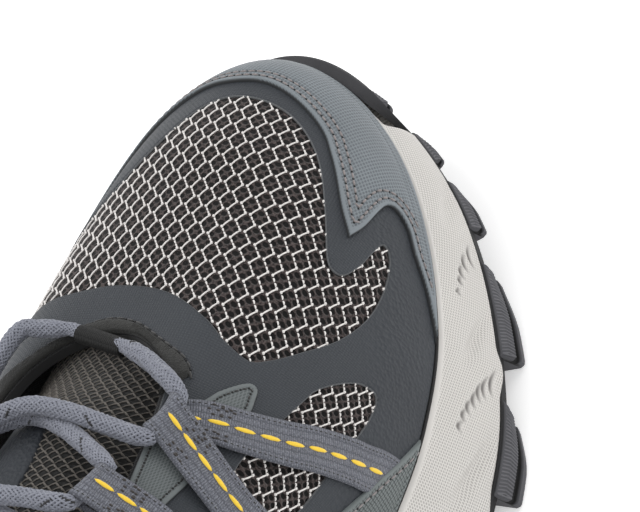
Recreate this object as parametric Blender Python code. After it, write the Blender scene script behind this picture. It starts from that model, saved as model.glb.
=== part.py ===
# Low-cut outdoor shoe for the right foot, standing empty on its sole.
# +X runs to the toe, -Y is the outer side, +Z is up. Sizes are in millimetres, meshes in metres.

import math

import bmesh
import bpy
import numpy as np
from mathutils.geometry import delaunay_2d_cdt

MM = 0.001
SHARP_DEGREES = 35

# Steps for finding directions on the last: millimetres, stations and share of the wall
PLAN_REACH = 0.5
NORMAL_REACH = 0.02
NORMAL_CLIMB = 0.004
RIM_UP_MOST = 0.6
RIM_UP_ROUNDS = 30

# Driving sizes
LAST_LENGTH = 300.0
BALL_WIDTH = 100.0
INSTEP_HEIGHT = 104.0
HEEL_HEIGHT = 102.0
GAP = 0.3

# Middle of the shoe's box in the last's own coordinates
ORIGIN_X = 150.7
ORIGIN_Y = -1.3

# Sole
LUG_DEPTH = 5.5
PLATE = 2.5
LIP_HEIGHT = 1.2
LIP_WIDTH = 1.6
LIP_INSET = 0.4
RIM_EDGE = 1.2
PLATE_EDGE = (1.2, 1.0)
WALL_BULGE = 0.8
GAP_BULGE = 1.6
GAP_BULGE_REACH = 1.35
WALL_LEVELS = (0.22, 0.5, 0.8)
BUMPER_OUT = 6.0
BUMPER_WALL = 2.0
BUMPER_RISE = 0.3
BUMPER_FADE = 0.12
BUMPER_EARLY = 0.16
BUMPER_DRAFT = 0.2
BUMPER_STATIONS = (8.95, 11.05)
SOLE_COLUMNS_AROUND = 96

# Lugs
LUG_REACH = 13.0
LUG_TAPER = 0.24
LUG_TRAIL = -0.5
LUG_BITE = 1.0
LUG_SINK = 0.15
LUG_STEPS = 2
LUG_CREST = 1.2
INNER_LUG_LENGTH = 11.0
INNER_LUG_WIDTH = 13.0
INNER_LUG_SKEW = 5.0

# Upper
UPPER_WALL = 2.4
COLLAR_PAD = 4.6
COLLAR_CROWN = 1.4
COLLAR_REACH = (3.6, 4.8)
PAD_RISE = (0.45, 0.75)
PAD_FALL = (0.92, 1.0)
PAD_FALL_SHARE = 0.45
EDGE_CROWN = 0.2
UPPER_COLUMNS_AROUND = 64
UPPER_LEVELS = (0.0, 0.07, 0.16, 0.28, 0.40, 0.52, 0.65, 0.78, 0.90, 1.0)

# Foot bed and tongue
INSOLE_THICK = 4.5
INSOLE_EDGE_GAP = 0.6
INSOLE_UP = 0.02
INSOLE_COLUMNS_AROUND = 48
TONGUE_THICK = 4.5
TONGUE_EDGE_THICK = 2.0
TONGUE_COLUMNS_ACROSS = 8
TONGUE_MIDDLE_Y = 2.5
TONGUE_FRONT_TAPER = 20.0
TONGUE_SPACING = (7.8, 11.25)
TONGUE_BEND_X = 175.0

# Layers over the upper, each as the distance of its under and upper face from the wall
FILM_LAYER = (0.6, 1.1)
PANEL_LAYER = (1.8, 2.6)
PANEL_LIFT = 0.8
PANEL_STEP = 10.0
QUARTER_STEP = 14.0
PANEL_ROW_SHARE = 0.75
PANEL_EDGE_STEP = 7.0
PANEL_EDGE_SHARE = 0.45
WALL_SPAN = 85.0

# Webbing, lace and keeper
WEBBING_WIDTH = 10.0
WEBBING_THICK = 1.2
WEBBING_LOW = 3.9
LACE_DIAMETER = 4.8
LACE_ROOM = 0.45
LACE_REST = 0.9
LACE_PITCH = 6.5
LOOP_RISE = 5.0
LOOP_OUT = 3.5
LOOP_TURN = (-100, 130, 8)
LACE_RUN_OUT = 8.5
EDGE_REACH = 0.03
TUNNEL_REACH = 0.1
KEEPER_WIDTH = 12.0
KEEPER_THICK = 1.0

# Sections of the last from the heel back round the outer side to the toe and home on the inner side.
# foot is where the wall stands on the sole and edge is the top line: x in hundredths of the length,
# y of the ball width, z of the height in the first column.
# lean, rise, reach, swell and sag shape the wall between.
LAST_COLUMNS = ("height", "foot_x", "foot_y", "edge_x", "edge_y", "edge_z",
                "lean", "rise", "reach", "swell", "sag")
LAST_ROWS = [
    (HEEL_HEIGHT, 2.3, 0.0, 5.0, 0.0, 100.0, 4, 26, 0.30, 2, 26),          # heel back
    (HEEL_HEIGHT, 5.7, -24.5, 7.7, -20.5, 96.0, 4, 25, 0.30, 2, 25),       # heel corner, outer
    (HEEL_HEIGHT, 15.0, -34.5, 15.3, -30.5, 84.5, 4, 24, 0.30, 2, 20),     # heel side, outer
    (INSTEP_HEIGHT, 28.3, -37.0, 26.0, -33.0, 74.0, 4, 22, 0.30, 4, 18),   # rear waist, outer
    (INSTEP_HEIGHT, 41.7, -40.0, 35.0, -31.0, 82.5, 5, 24, 0.30, 6, 22),   # waist, outer
    (INSTEP_HEIGHT, 53.3, -44.5, 42.0, -26.5, 99.0, 5, 26, 0.30, 8, 22),   # instep, outer
    (INSTEP_HEIGHT, 66.0, -50.0, 51.3, -23.5, 93.0, 5, 25, 0.35, 7, 16),   # ball, outer
    (INSTEP_HEIGHT, 77.0, -45.5, 60.5, -20.5, 84.0, 4, 21, 0.45, 5, 13.5),  # little toe
    (INSTEP_HEIGHT, 88.3, -32.5, 64.8, -14.5, 80.3, 5, 21, 0.52, 2, 11.5),  # toe quarter, outer
    (INSTEP_HEIGHT, 94.8, -17.0, 66.7, -6.5, 78.8, 6, 22, 0.52, 0, 10.5),  # toe corner, outer
    (INSTEP_HEIGHT, 98.2, 5.0, 67.2, 2.5, 78.4, 7, 23, 0.52, 0, 10.5),     # toe tip
    (INSTEP_HEIGHT, 95.3, 26.5, 66.7, 11.5, 78.8, 6, 22, 0.52, 0, 10.5),   # toe corner, inner
    (INSTEP_HEIGHT, 89.2, 38.5, 64.8, 19.0, 80.3, 5, 21, 0.52, 2, 11.5),   # big toe
    (INSTEP_HEIGHT, 80.2, 47.5, 60.5, 24.0, 84.0, 4, 21, 0.45, 5, 13.5),   # ball front, inner
    (INSTEP_HEIGHT, 68.7, 47.0, 51.3, 26.0, 93.3, 5, 25, 0.35, 7, 16),     # ball, inner
    (INSTEP_HEIGHT, 56.0, 39.0, 42.0, 28.5, 100.0, 5, 26, 0.30, 8, 22),    # instep, inner
    (INSTEP_HEIGHT, 42.7, 29.5, 35.0, 31.5, 84.5, 5, 24, 0.30, 6, 22),     # waist, inner
    (INSTEP_HEIGHT, 29.3, 29.5, 26.0, 32.5, 76.0, 4, 22, 0.30, 4, 18),     # rear waist, inner
    (HEEL_HEIGHT, 15.7, 32.5, 15.3, 30.0, 85.5, 4, 24, 0.30, 2, 20),       # heel side, inner
    (HEEL_HEIGHT, 6.0, 23.5, 7.7, 20.0, 96.0, 4, 25, 0.30, 2, 25),         # heel corner, inner
]
STATIONS = len(LAST_ROWS)

# Heights along the sole, and how far its lip and tread stand out from the wall's foot.
# x is in hundredths of the length.
SOLE_COLUMNS = ("x", "ground", "floor", "rim", "lip", "tread")
SOLE_ROWS = [
    (-2.0, 6.5, 28.0, 39.5, 6.0, 7.0),
    (0.0, 4.5, 28.0, 39.3, 6.0, 7.6),
    (6.7, 0.0, 28.0, 38.8, 6.5, 8.6),
    (20.0, 0.0, 28.0, 38.0, 7.5, 9.5),
    (29.0, 0.0, 27.3, 37.6, 8.0, 9.8),
    (43.3, 3.0, 25.5, 37.0, 9.0, 10.5),
    (54.0, 0.0, 23.8, 35.0, 9.8, 12.0),
    (68.3, 0.0, 22.0, 30.5, 9.0, 11.0),
    (75.0, 0.3, 22.0, 28.5, 7.8, 9.7),
    (86.7, 6.0, 26.0, 31.0, 7.0, 8.0),
    (95.0, 14.5, 31.5, 36.0, 6.0, 6.5),
    (101.0, 23.2, 36.0, 41.2, 6.0, 6.0),
    (104.0, 27.0, 38.0, 43.0, 6.0, 6.0),
]

# Edge lugs of the outer side, as front and rear stations of the lip, height of the foot above the tread
# and how far the front of the foot is swept to the rear; the inner side mirrors them
LUG_ROWS = [
    (9.72, 9.16, 2.0, 2.0),
    (8.75, 8.40, 4.6, 1.0),
    (8.19, 7.77, 2.0, 1.5),
    (7.54, 6.86, 0.0, 3.0),
    (6.55, 5.87, 0.0, 6.0),
    (5.53, 4.84, 0.0, 6.0),
    (4.47, 3.79, 0.0, 6.0),
    (3.47, 2.84, 0.0, 6.0),
    (2.52, 1.89, 0.0, 6.0),
    (1.45, 0.55, 0.0, 6.0),
]

# Inner lugs, x and y in millimetres on the last
INNER_LUG_ROWS = [(x, y) for x in (40, 57, 74) for y in (-8.5, 8.5)]
INNER_LUG_ROWS += [(x, y) for x in (172, 190, 208, 226) for y in (-18, 0, 18)]
INNER_LUG_ROWS += [(x, y) for x in (244, 260) for y in (-7, 11)]

# Tongue sections from under the vamp to its top: x, height of the crown, half width, fall of the sides
TONGUE_COLUMNS = ("x", "crown", "half_width", "fall")
TONGUE_ROWS = [
    (214, 74.6, 15, 3.0),
    (203, 77.6, 18, 3.8),
    (192, 82.5, 23, 9.0),
    (175, 94.5, 27, 23.5),
    (154, 102.5, 28, 22.0),
    (135, 110.0, 27.5, 22.5),
    (120, 120.0, 25, 25.0),
]

# Panel edges as (station, share of the way up the wall, corner) on the outer side
TOE_CAP_EDGE = [
    (6.90, 0.0, 1), (7.16, 0.14, 0), (7.42, 0.165, 0), (7.62, 0.19, 0), (7.76, 0.22, 0), (7.81, 0.27, 0),
    (7.75, 0.34, 0), (7.62, 0.43, 1), (8.14, 0.41, 0), (8.60, 0.37, 0), (9.10, 0.345, 0), (9.55, 0.34, 0),
    (10.0, 0.35, 0),
]
MESH_WINDOW = [
    (10.0, 0.91, 0), (9.0, 0.91, 0), (8.0, 0.90, 0), (7.4, 0.85, 0), (6.94, 0.77, 0), (6.80, 0.66, 0),
    (6.80, 0.54, 0), (6.92, 0.41, 0), (7.10, 0.34, 0), (7.30, 0.305, 0), (7.45, 0.31, 0), (7.38, 0.37, 0),
    (7.31, 0.46, 0), (7.50, 0.52, 0), (7.78, 0.50, 0), (8.40, 0.45, 0), (9.25, 0.41, 0), (9.8, 0.41, 0),
    (10.25, 0.45, 0), (10.7, 0.56, 0), (11.3, 0.62, 0), (12.0, 0.59, 0), (12.7, 0.54, 0), (13.1, 0.60, 0),
    (13.1, 0.73, 0), (12.6, 0.85, 0), (11.8, 0.90, 0), (11.0, 0.91, 0),
]
SIDE_WINDOW = [
    (6.40, 0.46, 0), (6.38, 0.38, 0), (6.24, 0.33, 0), (6.00, 0.355, 0), (5.70, 0.42, 0), (5.45, 0.48, 0),
    (5.34, 0.55, 0), (5.46, 0.61, 0), (5.76, 0.655, 0), (6.08, 0.655, 0), (6.30, 0.58, 0),
]
FILM_REAR = [(5.05, 0.36, 1), (4.75, 0.52, 1), (4.72, 0.70, 1), (4.85, 0.945, 1)]
EYESTAY_EDGE = [
    (6.76, 0.955, 1), (6.69, 0.86, 0), (6.69, 0.75, 0), (6.61, 0.70, 0), (6.47, 0.70, 0), (6.33, 0.79, 0),
    (6.00, 0.81, 0), (5.60, 0.79, 0), (5.20, 0.77, 0), (4.96, 0.82, 0), (4.92, 0.955, 1),
]
QUARTER_EDGE = [
    (6.04, 0.0, 1), (5.76, 0.23, 0), (5.49, 0.33, 0), (5.20, 0.42, 0), (4.90, 0.49, 0), (4.50, 0.55, 0),
    (4.00, 0.59, 0), (3.00, 0.62, 0), (2.00, 0.65, 0), (1.00, 0.67, 0), (0.0, 0.68, 0),
]
FILM_TOP = 0.945
BINDING_BAND = (0.957, 0.995)
BINDING_STATIONS = (7.12, 12.88)

# Legs of a strap from its lace tunnel: stations back from the tunnel, share up the wall
LEG_UNDER = [
    (-0.12, 0.955), (-0.22, 0.88), (-0.40, 0.78), (-0.57, 0.68), (-0.74, 0.56), (-0.88, 0.44), (-0.99, 0.31),
]
LEG_OVER = [(-0.10, 0.955), (-0.38, 0.885), (-0.67, 0.815), (-0.98, 0.715), (-1.22, 0.635), (-1.45, 0.53)]
LEG_OVER_LIFT = [1.7, 1.6, 0.9, 0.1, 0.0, 0.0]
LEG_UNDER_SLANT = 0.7

# Lace loops: station, points of the leg beneath and of the leg on top
LOOP_ROWS = [(6.84, 7, 6), (5.87, 4, 5), (5.02, 3, 3)]

# Keeper path along the middle of the throat: x, z
KEEPER_PATH = [(206.5, 84.2), (203.0, 85.6), (200.0, 87.4), (197.0, 88.0), (193.8, 87.0), (191.6, 84.6)]

# Front bar of the lace over the tongue: x, distance from the middle, extra height
LACE_BAR = [(194.0, -12.5, 1.2), (197.3, 0.0, 0.0), (194.0, 12.5, 1.2)]

COLOURS = {
    "rubber": ((0.045, 0.045, 0.050), 0.75),
    "foam": ((0.60, 0.59, 0.57), 0.70),
    "mesh": ((0.20, 0.19, 0.19), 0.85),
    "air_mesh": ((0.03, 0.03, 0.03), 0.90),
    "foot_bed": ((0.06, 0.06, 0.06), 0.90),
    "film": ((0.045, 0.050, 0.055), 0.55),
    "embossed": ((0.21, 0.24, 0.26), 0.60),
    "woven": ((0.14, 0.16, 0.16), 0.80),
    "webbing": ((0.13, 0.14, 0.16), 0.85),
    "binding": ((0.03, 0.03, 0.03), 0.90),
    "cord": ((0.30, 0.31, 0.37), 0.85),
}


def cyclic_spline(knots, values):
    count = len(values)
    step = np.diff(knots)
    matrix = np.zeros((count, count))
    right = np.zeros((count, values.shape[1]))
    for i in range(count):
        before, after = step[i - 1], step[i]
        matrix[i, i - 1] += before
        matrix[i, i] += 2 * (before + after)
        matrix[i, (i + 1) % count] += after
        slope_after = (values[(i + 1) % count] - values[i]) / after
        slope_before = (values[i] - values[i - 1]) / before
        right[i] = 6 * (slope_after - slope_before)
    bend = np.linalg.solve(matrix, right)

    def curve(t):
        t = np.mod(t, knots[-1])
        k = np.clip(np.searchsorted(knots, t, side="right") - 1, 0, count - 1)
        left = (knots[k + 1] - t)[:, None]
        past = (t - knots[k])[:, None]
        h = step[k][:, None]
        low, high = values[k], values[(k + 1) % count]
        bend_low, bend_high = bend[k], bend[(k + 1) % count]
        cubic = (bend_low * left ** 3 + bend_high * past ** 3) / (6 * h)
        return cubic + (low / h - bend_low * h / 6) * left + (high / h - bend_high * h / 6) * past

    return curve


def monotone_curve(xs, ys):
    step = np.diff(xs)
    slope = np.diff(ys) / step
    both = slope[:-1] * slope[1:]
    total = slope[:-1] + slope[1:]
    middle = np.where(both > 0, 2 * both / np.where(both > 0, total, 1.0), 0.0)
    tangent = np.concatenate(([slope[0]], middle, [slope[-1]]))

    def curve(x):
        x = np.clip(np.asarray(x, float), xs[0], xs[-1])
        k = np.clip(np.searchsorted(xs, x, side="right") - 1, 0, len(step) - 1)
        u = (x - xs[k]) / step[k]
        ends = ys[k] * (1 + 2 * u) * (1 - u) ** 2 + ys[k + 1] * u ** 2 * (3 - 2 * u)
        return ends + step[k] * u * (1 - u) * (tangent[k] * (1 - u) - tangent[k + 1] * u)

    return curve


def smooth_step(low, high, value):
    share = np.clip((np.asarray(value, float) - low) / (high - low), 0.0, 1.0)
    return share * share * (3 - 2 * share)


def last_table():
    table = []
    for values in LAST_ROWS:
        row = dict(zip(LAST_COLUMNS, values))
        foot = (row["foot_x"] * LAST_LENGTH / 100, row["foot_y"] * BALL_WIDTH / 100)
        edge = (row["edge_x"] * LAST_LENGTH / 100, row["edge_y"] * BALL_WIDTH / 100)
        edge_z = row["edge_z"] * row["height"] / 100
        bend = tuple(row[name] for name in ("lean", "rise", "reach", "swell", "sag"))
        table.append(foot + edge + (edge_z,) + bend)
    return np.array(table)


LAST = last_table()
CHORDS = np.hypot(*(np.roll(LAST[:, :2], -1, axis=0) - LAST[:, :2]).T)
AROUND = np.concatenate(([0.0], np.cumsum(CHORDS)))
LAST_CURVE = cyclic_spline(AROUND, LAST)
SOLE = {}
for number, name in enumerate(SOLE_COLUMNS[1:], start=1):
    sole_x = np.array([row[0] for row in SOLE_ROWS]) * LAST_LENGTH / 100
    SOLE[name] = monotone_curve(sole_x, np.array([row[number] for row in SOLE_ROWS]))


# Distance round the foot line for a station, and back; stations past a full turn go on counting
def around(station):
    turn = np.floor(np.asarray(station, float) / STATIONS)
    return np.interp(station - turn * STATIONS, np.arange(STATIONS + 1), AROUND) + turn * AROUND[-1]


def station_of(distance):
    turn = np.floor(np.asarray(distance, float) / AROUND[-1])
    return np.interp(distance - turn * AROUND[-1], AROUND, np.arange(STATIONS + 1)) + turn * STATIONS


def other_side(station):
    return STATIONS - station


def on_side(station, side):
    return station if side == "outer" else other_side(station)


def plan_normal(station):
    t = around(station)
    run = LAST_CURVE(t + PLAN_REACH)[:, :2] - LAST_CURVE(t - PLAN_REACH)[:, :2]
    run /= np.linalg.norm(run, axis=1)[:, None]
    return np.column_stack((run[:, 1], -run[:, 0]))


# Outside of the wall: a cubic curve from the foot line up to the top edge at each station
def wall_point(station, up):
    station, up = np.broadcast_arrays(np.asarray(station, float), np.asarray(up, float))
    flat, share = station.ravel(), up.ravel()[:, None]
    row = LAST_CURVE(around(flat))
    foot, edge, edge_z = row[:, 0:2], row[:, 2:4], row[:, 4]
    lean, rise, reach, swell, sag = row[:, 5:10].T
    normal = plan_normal(flat)
    base = SOLE["floor"](foot[:, 0]) + GAP
    low = np.column_stack((foot, base))
    low_pull = np.column_stack((foot + normal * lean[:, None], base + rise))
    high_plan = edge + (foot - edge) * reach[:, None] + normal * swell[:, None]
    high_pull = np.column_stack((high_plan, edge_z - sag))
    high = np.column_stack((edge, edge_z))
    left = 1 - share
    lower = low * left ** 3 + 3 * low_pull * left ** 2 * share
    point = lower + 3 * high_pull * left * share ** 2 + high * share ** 3
    return point.reshape(station.shape + (3,))


def wall_normal(station, up):
    station, up = np.broadcast_arrays(np.asarray(station, float), np.asarray(up, float))
    along = wall_point(station + NORMAL_REACH, up) - wall_point(station - NORMAL_REACH, up)
    above = np.minimum(up + NORMAL_CLIMB, 1)
    below = np.maximum(up - NORMAL_CLIMB, 0)
    rising = wall_point(station, above) - wall_point(station, below)
    normal = np.cross(along, rising)
    return normal / np.linalg.norm(normal, axis=-1)[..., None]


def skin(station, up, out):
    out = np.broadcast_to(np.asarray(out, float), np.broadcast(np.asarray(station), np.asarray(up)).shape)
    return wall_point(station, up) + wall_normal(station, up) * out[..., None]


def up_at_height(station, height):
    low = np.zeros_like(station)
    high = np.full_like(station, RIM_UP_MOST)
    for _ in range(RIM_UP_ROUNDS):
        middle = (low + high) / 2
        below = wall_point(station, middle)[..., 2] < height
        low = np.where(below, middle, low)
        high = np.where(below, high, middle)
    return (low + high) / 2


def foot_x(station):
    return LAST_CURVE(around(station))[:, 0]


def rim_up(station, lift):
    station = np.asarray(station, float)
    return up_at_height(station, SOLE["rim"](foot_x(station)) + lift)


def even_stations(count):
    return np.arange(count) * STATIONS / count


# A point of the sole: so far out from the foot line, at a height that depends on x
def sole_ring(station, out, level):
    plan = LAST_CURVE(around(station))[:, :2] + plan_normal(station) * np.asarray(out, float).reshape(-1, 1)
    return np.column_stack((plan, level(plan[:, 0])))


def plate_bottom(x):
    return SOLE["ground"](x) + LUG_DEPTH


def plate_top(x):
    return plate_bottom(x) + PLATE


def lip_top(x):
    return plate_top(x) + LIP_HEIGHT


# One along the toe bumper; the midsole draws back for it a little before the bumper climbs
def bumper_share(station, early=0.0):
    start, end = BUMPER_STATIONS
    rising = smooth_step(start - BUMPER_FADE - early, start + BUMPER_FADE - 2 * early, station)
    return rising * (1 - smooth_step(end - BUMPER_FADE + 2 * early, end + BUMPER_FADE + early, station))


# One in the middle of the space between two edge lugs, nothing beside a lug
def space_share(station):
    folded = np.minimum(station, other_side(station))
    share = np.zeros_like(folded)
    for ahead, behind in zip(LUG_ROWS[:-1], LUG_ROWS[1:]):
        rear, front = ahead[1], behind[0]
        middle, half = (rear + front) / 2, (rear - front) / 2
        share += 1 - smooth_step(0.0, GAP_BULGE_REACH * half, np.abs(folded - middle))
    return share


# Mesh makers
def make_material(finish):
    material = bpy.data.materials.get(finish) or bpy.data.materials.new(finish)
    material.use_nodes = True
    colour, roughness = COLOURS[finish]
    shader = material.node_tree.nodes["Principled BSDF"]
    shader.inputs["Base Color"].default_value = (*colour, 1.0)
    shader.inputs["Roughness"].default_value = roughness
    shader.inputs["Metallic"].default_value = 0.0
    return material


def make_object(name, points, faces, finish):
    mesh = bpy.data.meshes.new(name)
    mesh.from_pydata((np.asarray(points) * MM).tolist(), [], faces)
    shape = bmesh.new()
    shape.from_mesh(mesh)
    bmesh.ops.recalc_face_normals(shape, faces=shape.faces)
    if shape.calc_volume(signed=True) < 0:
        bmesh.ops.reverse_faces(shape, faces=shape.faces)
    shape.to_mesh(mesh)
    shape.free()
    mesh.shade_smooth()
    mesh.set_sharp_from_angle(angle=math.radians(SHARP_DEGREES))
    mesh.materials.append(make_material(finish))
    piece = bpy.data.objects.new(name, mesh)
    piece.parent = SHOE
    bpy.context.collection.objects.link(piece)
    return piece


# Faces between rings of equal count; a closed tube joins the last ring to the first,
# and otherwise the end rings are filled with rungs from the outer side to the inner side
def ring_faces(ring_count, count, closed):
    faces = []
    for r in range(ring_count if closed else ring_count - 1):
        low, high = r * count, (r + 1) % ring_count * count
        for i in range(count):
            j = (i + 1) % count
            faces.append((low + i, low + j, high + j, high + i))
    if not closed:
        for start in (0, (ring_count - 1) * count):
            half = count // 2
            faces.append((start, start + 1, start + count - 1))
            for i in range(1, half - 1):
                faces.append((start + i, start + i + 1, start + count - i - 1, start + count - i))
            faces.append((start + half - 1, start + half, start + half + 1))
    return faces


def make_rings(name, rings, finish, closed=False):
    faces = ring_faces(len(rings), len(rings[0]), closed)
    return make_object(name, np.concatenate(rings), faces, finish)


# A strip of rectangular section through a row of sections (middle, width direction, thickness direction)
def make_strip(name, sections, width, thick, finish):
    points, faces = [], []
    for middle, across, over in sections:
        for side, face in ((-1, -1), (1, -1), (1, 1), (-1, 1)):
            points.append(middle + across * side * width / 2 + over * face * thick / 2)
    for k in range(len(sections) - 1):
        for i in range(4):
            j = (i + 1) % 4
            faces.append((4 * k + i, 4 * k + j, 4 * k + 4 + j, 4 * k + 4 + i))
    last = 4 * (len(sections) - 1)
    faces += [(0, 1, 2, 3), (last, last + 1, last + 2, last + 3)]
    return make_object(name, points, faces, finish)


# Curves
def through_points(points, corners, step, closed):
    points = np.asarray(points, float)
    count = len(points)
    tangent = np.zeros_like(points)
    for i in range(count):
        before = points[i - 1] if closed or i > 0 else points[i]
        after = points[(i + 1) % count] if closed or i < count - 1 else points[i]
        tangent[i] = (after - before) / 2
    path = []
    for i in range(count if closed else count - 1):
        j = (i + 1) % count
        chord = points[j] - points[i]
        pull_i = chord if corners[i] else tangent[i]
        pull_j = chord if corners[j] else tangent[j]
        pieces = max(1, round(np.linalg.norm(chord) / step))
        for k in range(pieces):
            u = k / pieces
            ends = points[i] * (1 + 2 * u) * (1 - u) ** 2 + points[j] * u ** 2 * (3 - 2 * u)
            path.append(ends + u * (1 - u) * (pull_i * (1 - u) - pull_j * u))
    if not closed:
        path.append(points[-1])
    return np.array(path)


# Flat drawing of the wall: distance round the foot, and height along the wall, never below the rim
def flat_points(rows):
    station, up = np.array([row[:2] for row in rows], float).T
    up = np.maximum(up, rim_up(station, PANEL_LIFT))
    return np.column_stack((around(station), up * WALL_SPAN))


def flat_outline(rows, closed):
    return through_points(flat_points(rows), [row[2] for row in rows], PANEL_EDGE_STEP, closed)


def along_rim(start, end):
    count = max(2, round(abs(around(end) - around(start)) / PANEL_EDGE_STEP))
    station = np.linspace(start, end, count + 1)
    return np.column_stack((around(station), rim_up(station, PANEL_LIFT) * WALL_SPAN))


def along_level(start, end, up):
    count = max(2, round(abs(around(end) - around(start)) / PANEL_EDGE_STEP))
    station = np.linspace(start, end, count + 1)
    return np.column_stack((around(station), np.full(count + 1, up * WALL_SPAN)))


def mirrored(rows):
    return [(other_side(station), up, corner) for station, up, corner in reversed(rows)]


def inside(outline, points):
    x, y = points[:, 0], points[:, 1]
    result = np.zeros(len(points), bool)
    for (ax, ay), (bx, by) in zip(outline, np.roll(outline, -1, axis=0)):
        crosses = (ay > y) != (by > y)
        rise = by - ay if by != ay else 1.0
        result ^= crosses & (x < ax + (y - ay) * (bx - ax) / rise)
    return result


def clear_of(outline, points, distance):
    keep = np.ones(len(points), bool)
    for a, b in zip(outline, np.roll(outline, -1, axis=0)):
        run = b - a
        share = np.clip(((points - a) @ run) / (run @ run), 0, 1)
        keep &= np.linalg.norm(points - (a + share[:, None] * run), axis=1) > distance
    return keep


# A layer between two distances from the wall, cut to an outline and its windows
def make_panel(name, outline, windows, layer, finish, step=PANEL_STEP):
    loops = [outline] + windows
    low, high = outline.min(axis=0), outline.max(axis=0)
    columns = np.arange(low[0], high[0], step)
    rows = np.arange(low[1], high[1], step * PANEL_ROW_SHARE)
    grid = np.stack(np.meshgrid(columns, rows), axis=-1).reshape(-1, 2)
    grid = grid[inside(outline, grid)]
    for window in windows:
        grid = grid[~inside(window, grid)]
    for loop in loops:
        grid = grid[clear_of(loop, grid, step * PANEL_EDGE_SHARE)]
    points, edges = [], []
    for loop in loops:
        start = len(points)
        points += loop.tolist()
        edges += [(start + i, start + (i + 1) % len(loop)) for i in range(len(loop))]
    points += grid.tolist()
    flat, _, triangles, _, _, _ = delaunay_2d_cdt(points, edges, [], 0, 1e-6)
    flat = np.array([tuple(point) for point in flat])
    triangles = [tuple(triangle) for triangle in triangles]
    middles = np.array([flat[list(triangle)].mean(axis=0) for triangle in triangles])
    keep = inside(outline, middles)
    for window in windows:
        keep &= ~inside(window, middles)
    triangles = [triangle for triangle, kept in zip(triangles, keep) if kept]
    used = sorted({corner for triangle in triangles for corner in triangle})
    renumber = {old: new for new, old in enumerate(used)}
    triangles = [tuple(renumber[corner] for corner in triangle) for triangle in triangles]
    flat = flat[used]
    station, up = station_of(flat[:, 0]), np.clip(flat[:, 1] / WALL_SPAN, 0, 1)
    count = len(flat)
    solid = np.concatenate((skin(station, up, layer[0]), skin(station, up, layer[1])))
    faces = [tuple(reversed(triangle)) for triangle in triangles]
    faces += [tuple(corner + count for corner in triangle) for triangle in triangles]
    directed = {(t[i], t[(i + 1) % 3]) for t in triangles for i in range(3)}
    for a, b in directed:
        if (b, a) not in directed:
            faces.append((a, b, b + count, a + count))
    return make_object(name, solid, faces, finish)


# Sole pieces
def make_outsole():
    station = even_stations(SOLE_COLUMNS_AROUND)
    lip = SOLE["lip"](foot_x(station))
    bumper = bumper_share(station)
    tray = lip - LIP_INSET - LIP_WIDTH
    side = lip - LIP_INSET

    def wall_top(x):
        return lip_top(x) * (1 - bumper) + (SOLE["rim"](foot_x(station)) + BUMPER_RISE) * bumper

    bumper_in = BUMPER_OUT - BUMPER_WALL
    edge_in, edge_up = PLATE_EDGE
    rings = [
        sole_ring(station, side - edge_in, plate_bottom),
        sole_ring(station, side, lambda x: plate_bottom(x) + edge_up),
        sole_ring(station, side * (1 - bumper) + BUMPER_OUT * bumper, wall_top),
        sole_ring(station, tray * (1 - bumper) + bumper_in * bumper, wall_top),
        sole_ring(station, tray, plate_top),
    ]
    outsole = make_rings("outsole", rings, "rubber")
    tread = make_tread()
    join = outsole.modifiers.new("tread", "BOOLEAN")
    join.operation = "UNION"
    join.solver = "EXACT"
    join.use_self = True
    join.object = tread
    return outsole


# All lugs in one hidden mesh that is joined to the plate
def make_tread():
    points, faces = [], []

    def add(block, ring, rings):
        start = len(points)
        points.extend(block)
        for r in range(rings - 1):
            for i in range(ring):
                j = (i + 1) % ring
                low, high = start + r * ring, start + (r + 1) * ring
                faces.append((low + i, low + j, high + j, high + i))
        faces.append(tuple(start + i for i in range(ring)))
        faces.append(tuple(start + (rings - 1) * ring + i for i in range(ring)))

    for row in LUG_ROWS:
        for side in ("outer", "inner"):
            add(edge_lug(*row, side), 6, LUG_STEPS + 1)
    for x, y in INNER_LUG_ROWS:
        add(inner_lug(x, y), 4, 2)
    tread = make_object("tread_guide", points, faces, "rubber")
    tread.hide_render = True
    tread.display_type = "WIRE"
    return tread


# An edge lug: its top follows the lip, the front of its foot is swept to the rear
def edge_lug(front, rear, foot, sweep, side):
    ends = around(np.array([front, rear]))
    middle = ends.mean()
    top = LUG_DEPTH + PLATE + LIP_HEIGHT - LUG_SINK
    inside_plate = LUG_DEPTH + LUG_BITE
    block = []
    for step in range(LUG_STEPS + 1):
        share = step / LUG_STEPS
        t = ends[0] + (ends[1] - ends[0]) * share
        trail = sweep + (LUG_TRAIL - sweep) * share
        lip = float(SOLE["lip"](foot_x(station_of(np.array([t])))[0]))
        tread = float(SOLE["tread"](foot_x(station_of(np.array([t])))[0]))
        crest = lip - LUG_CREST
        corners = [(-LUG_REACH, foot), (tread, foot), (lip, top), (crest, top),
                   (crest, inside_plate), (-LUG_REACH, inside_plate)]
        for out, height in corners:
            taper = LUG_TAPER if out < 0 else 0.0
            shifted = t + (middle - t) * taper - trail * (1 - height / top)
            station = on_side(station_of(np.array([shifted])), side)
            block.append(sole_ring(station, [out], lambda x: SOLE["ground"](x) + height)[0])
    return block


def inner_lug(x, y):
    skew = -INNER_LUG_SKEW if y >= 0 else INNER_LUG_SKEW
    block = []
    for height in (0.0, LUG_DEPTH + LUG_BITE):
        for along, across in ((-1, -1), (1, -1), (1, 1), (-1, 1)):
            px = x + along * INNER_LUG_LENGTH / 2 + across * skew / 2
            py = y + across * INNER_LUG_WIDTH / 2
            block.append((px, py, float(SOLE["ground"](px)) + height))
    return block


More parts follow.
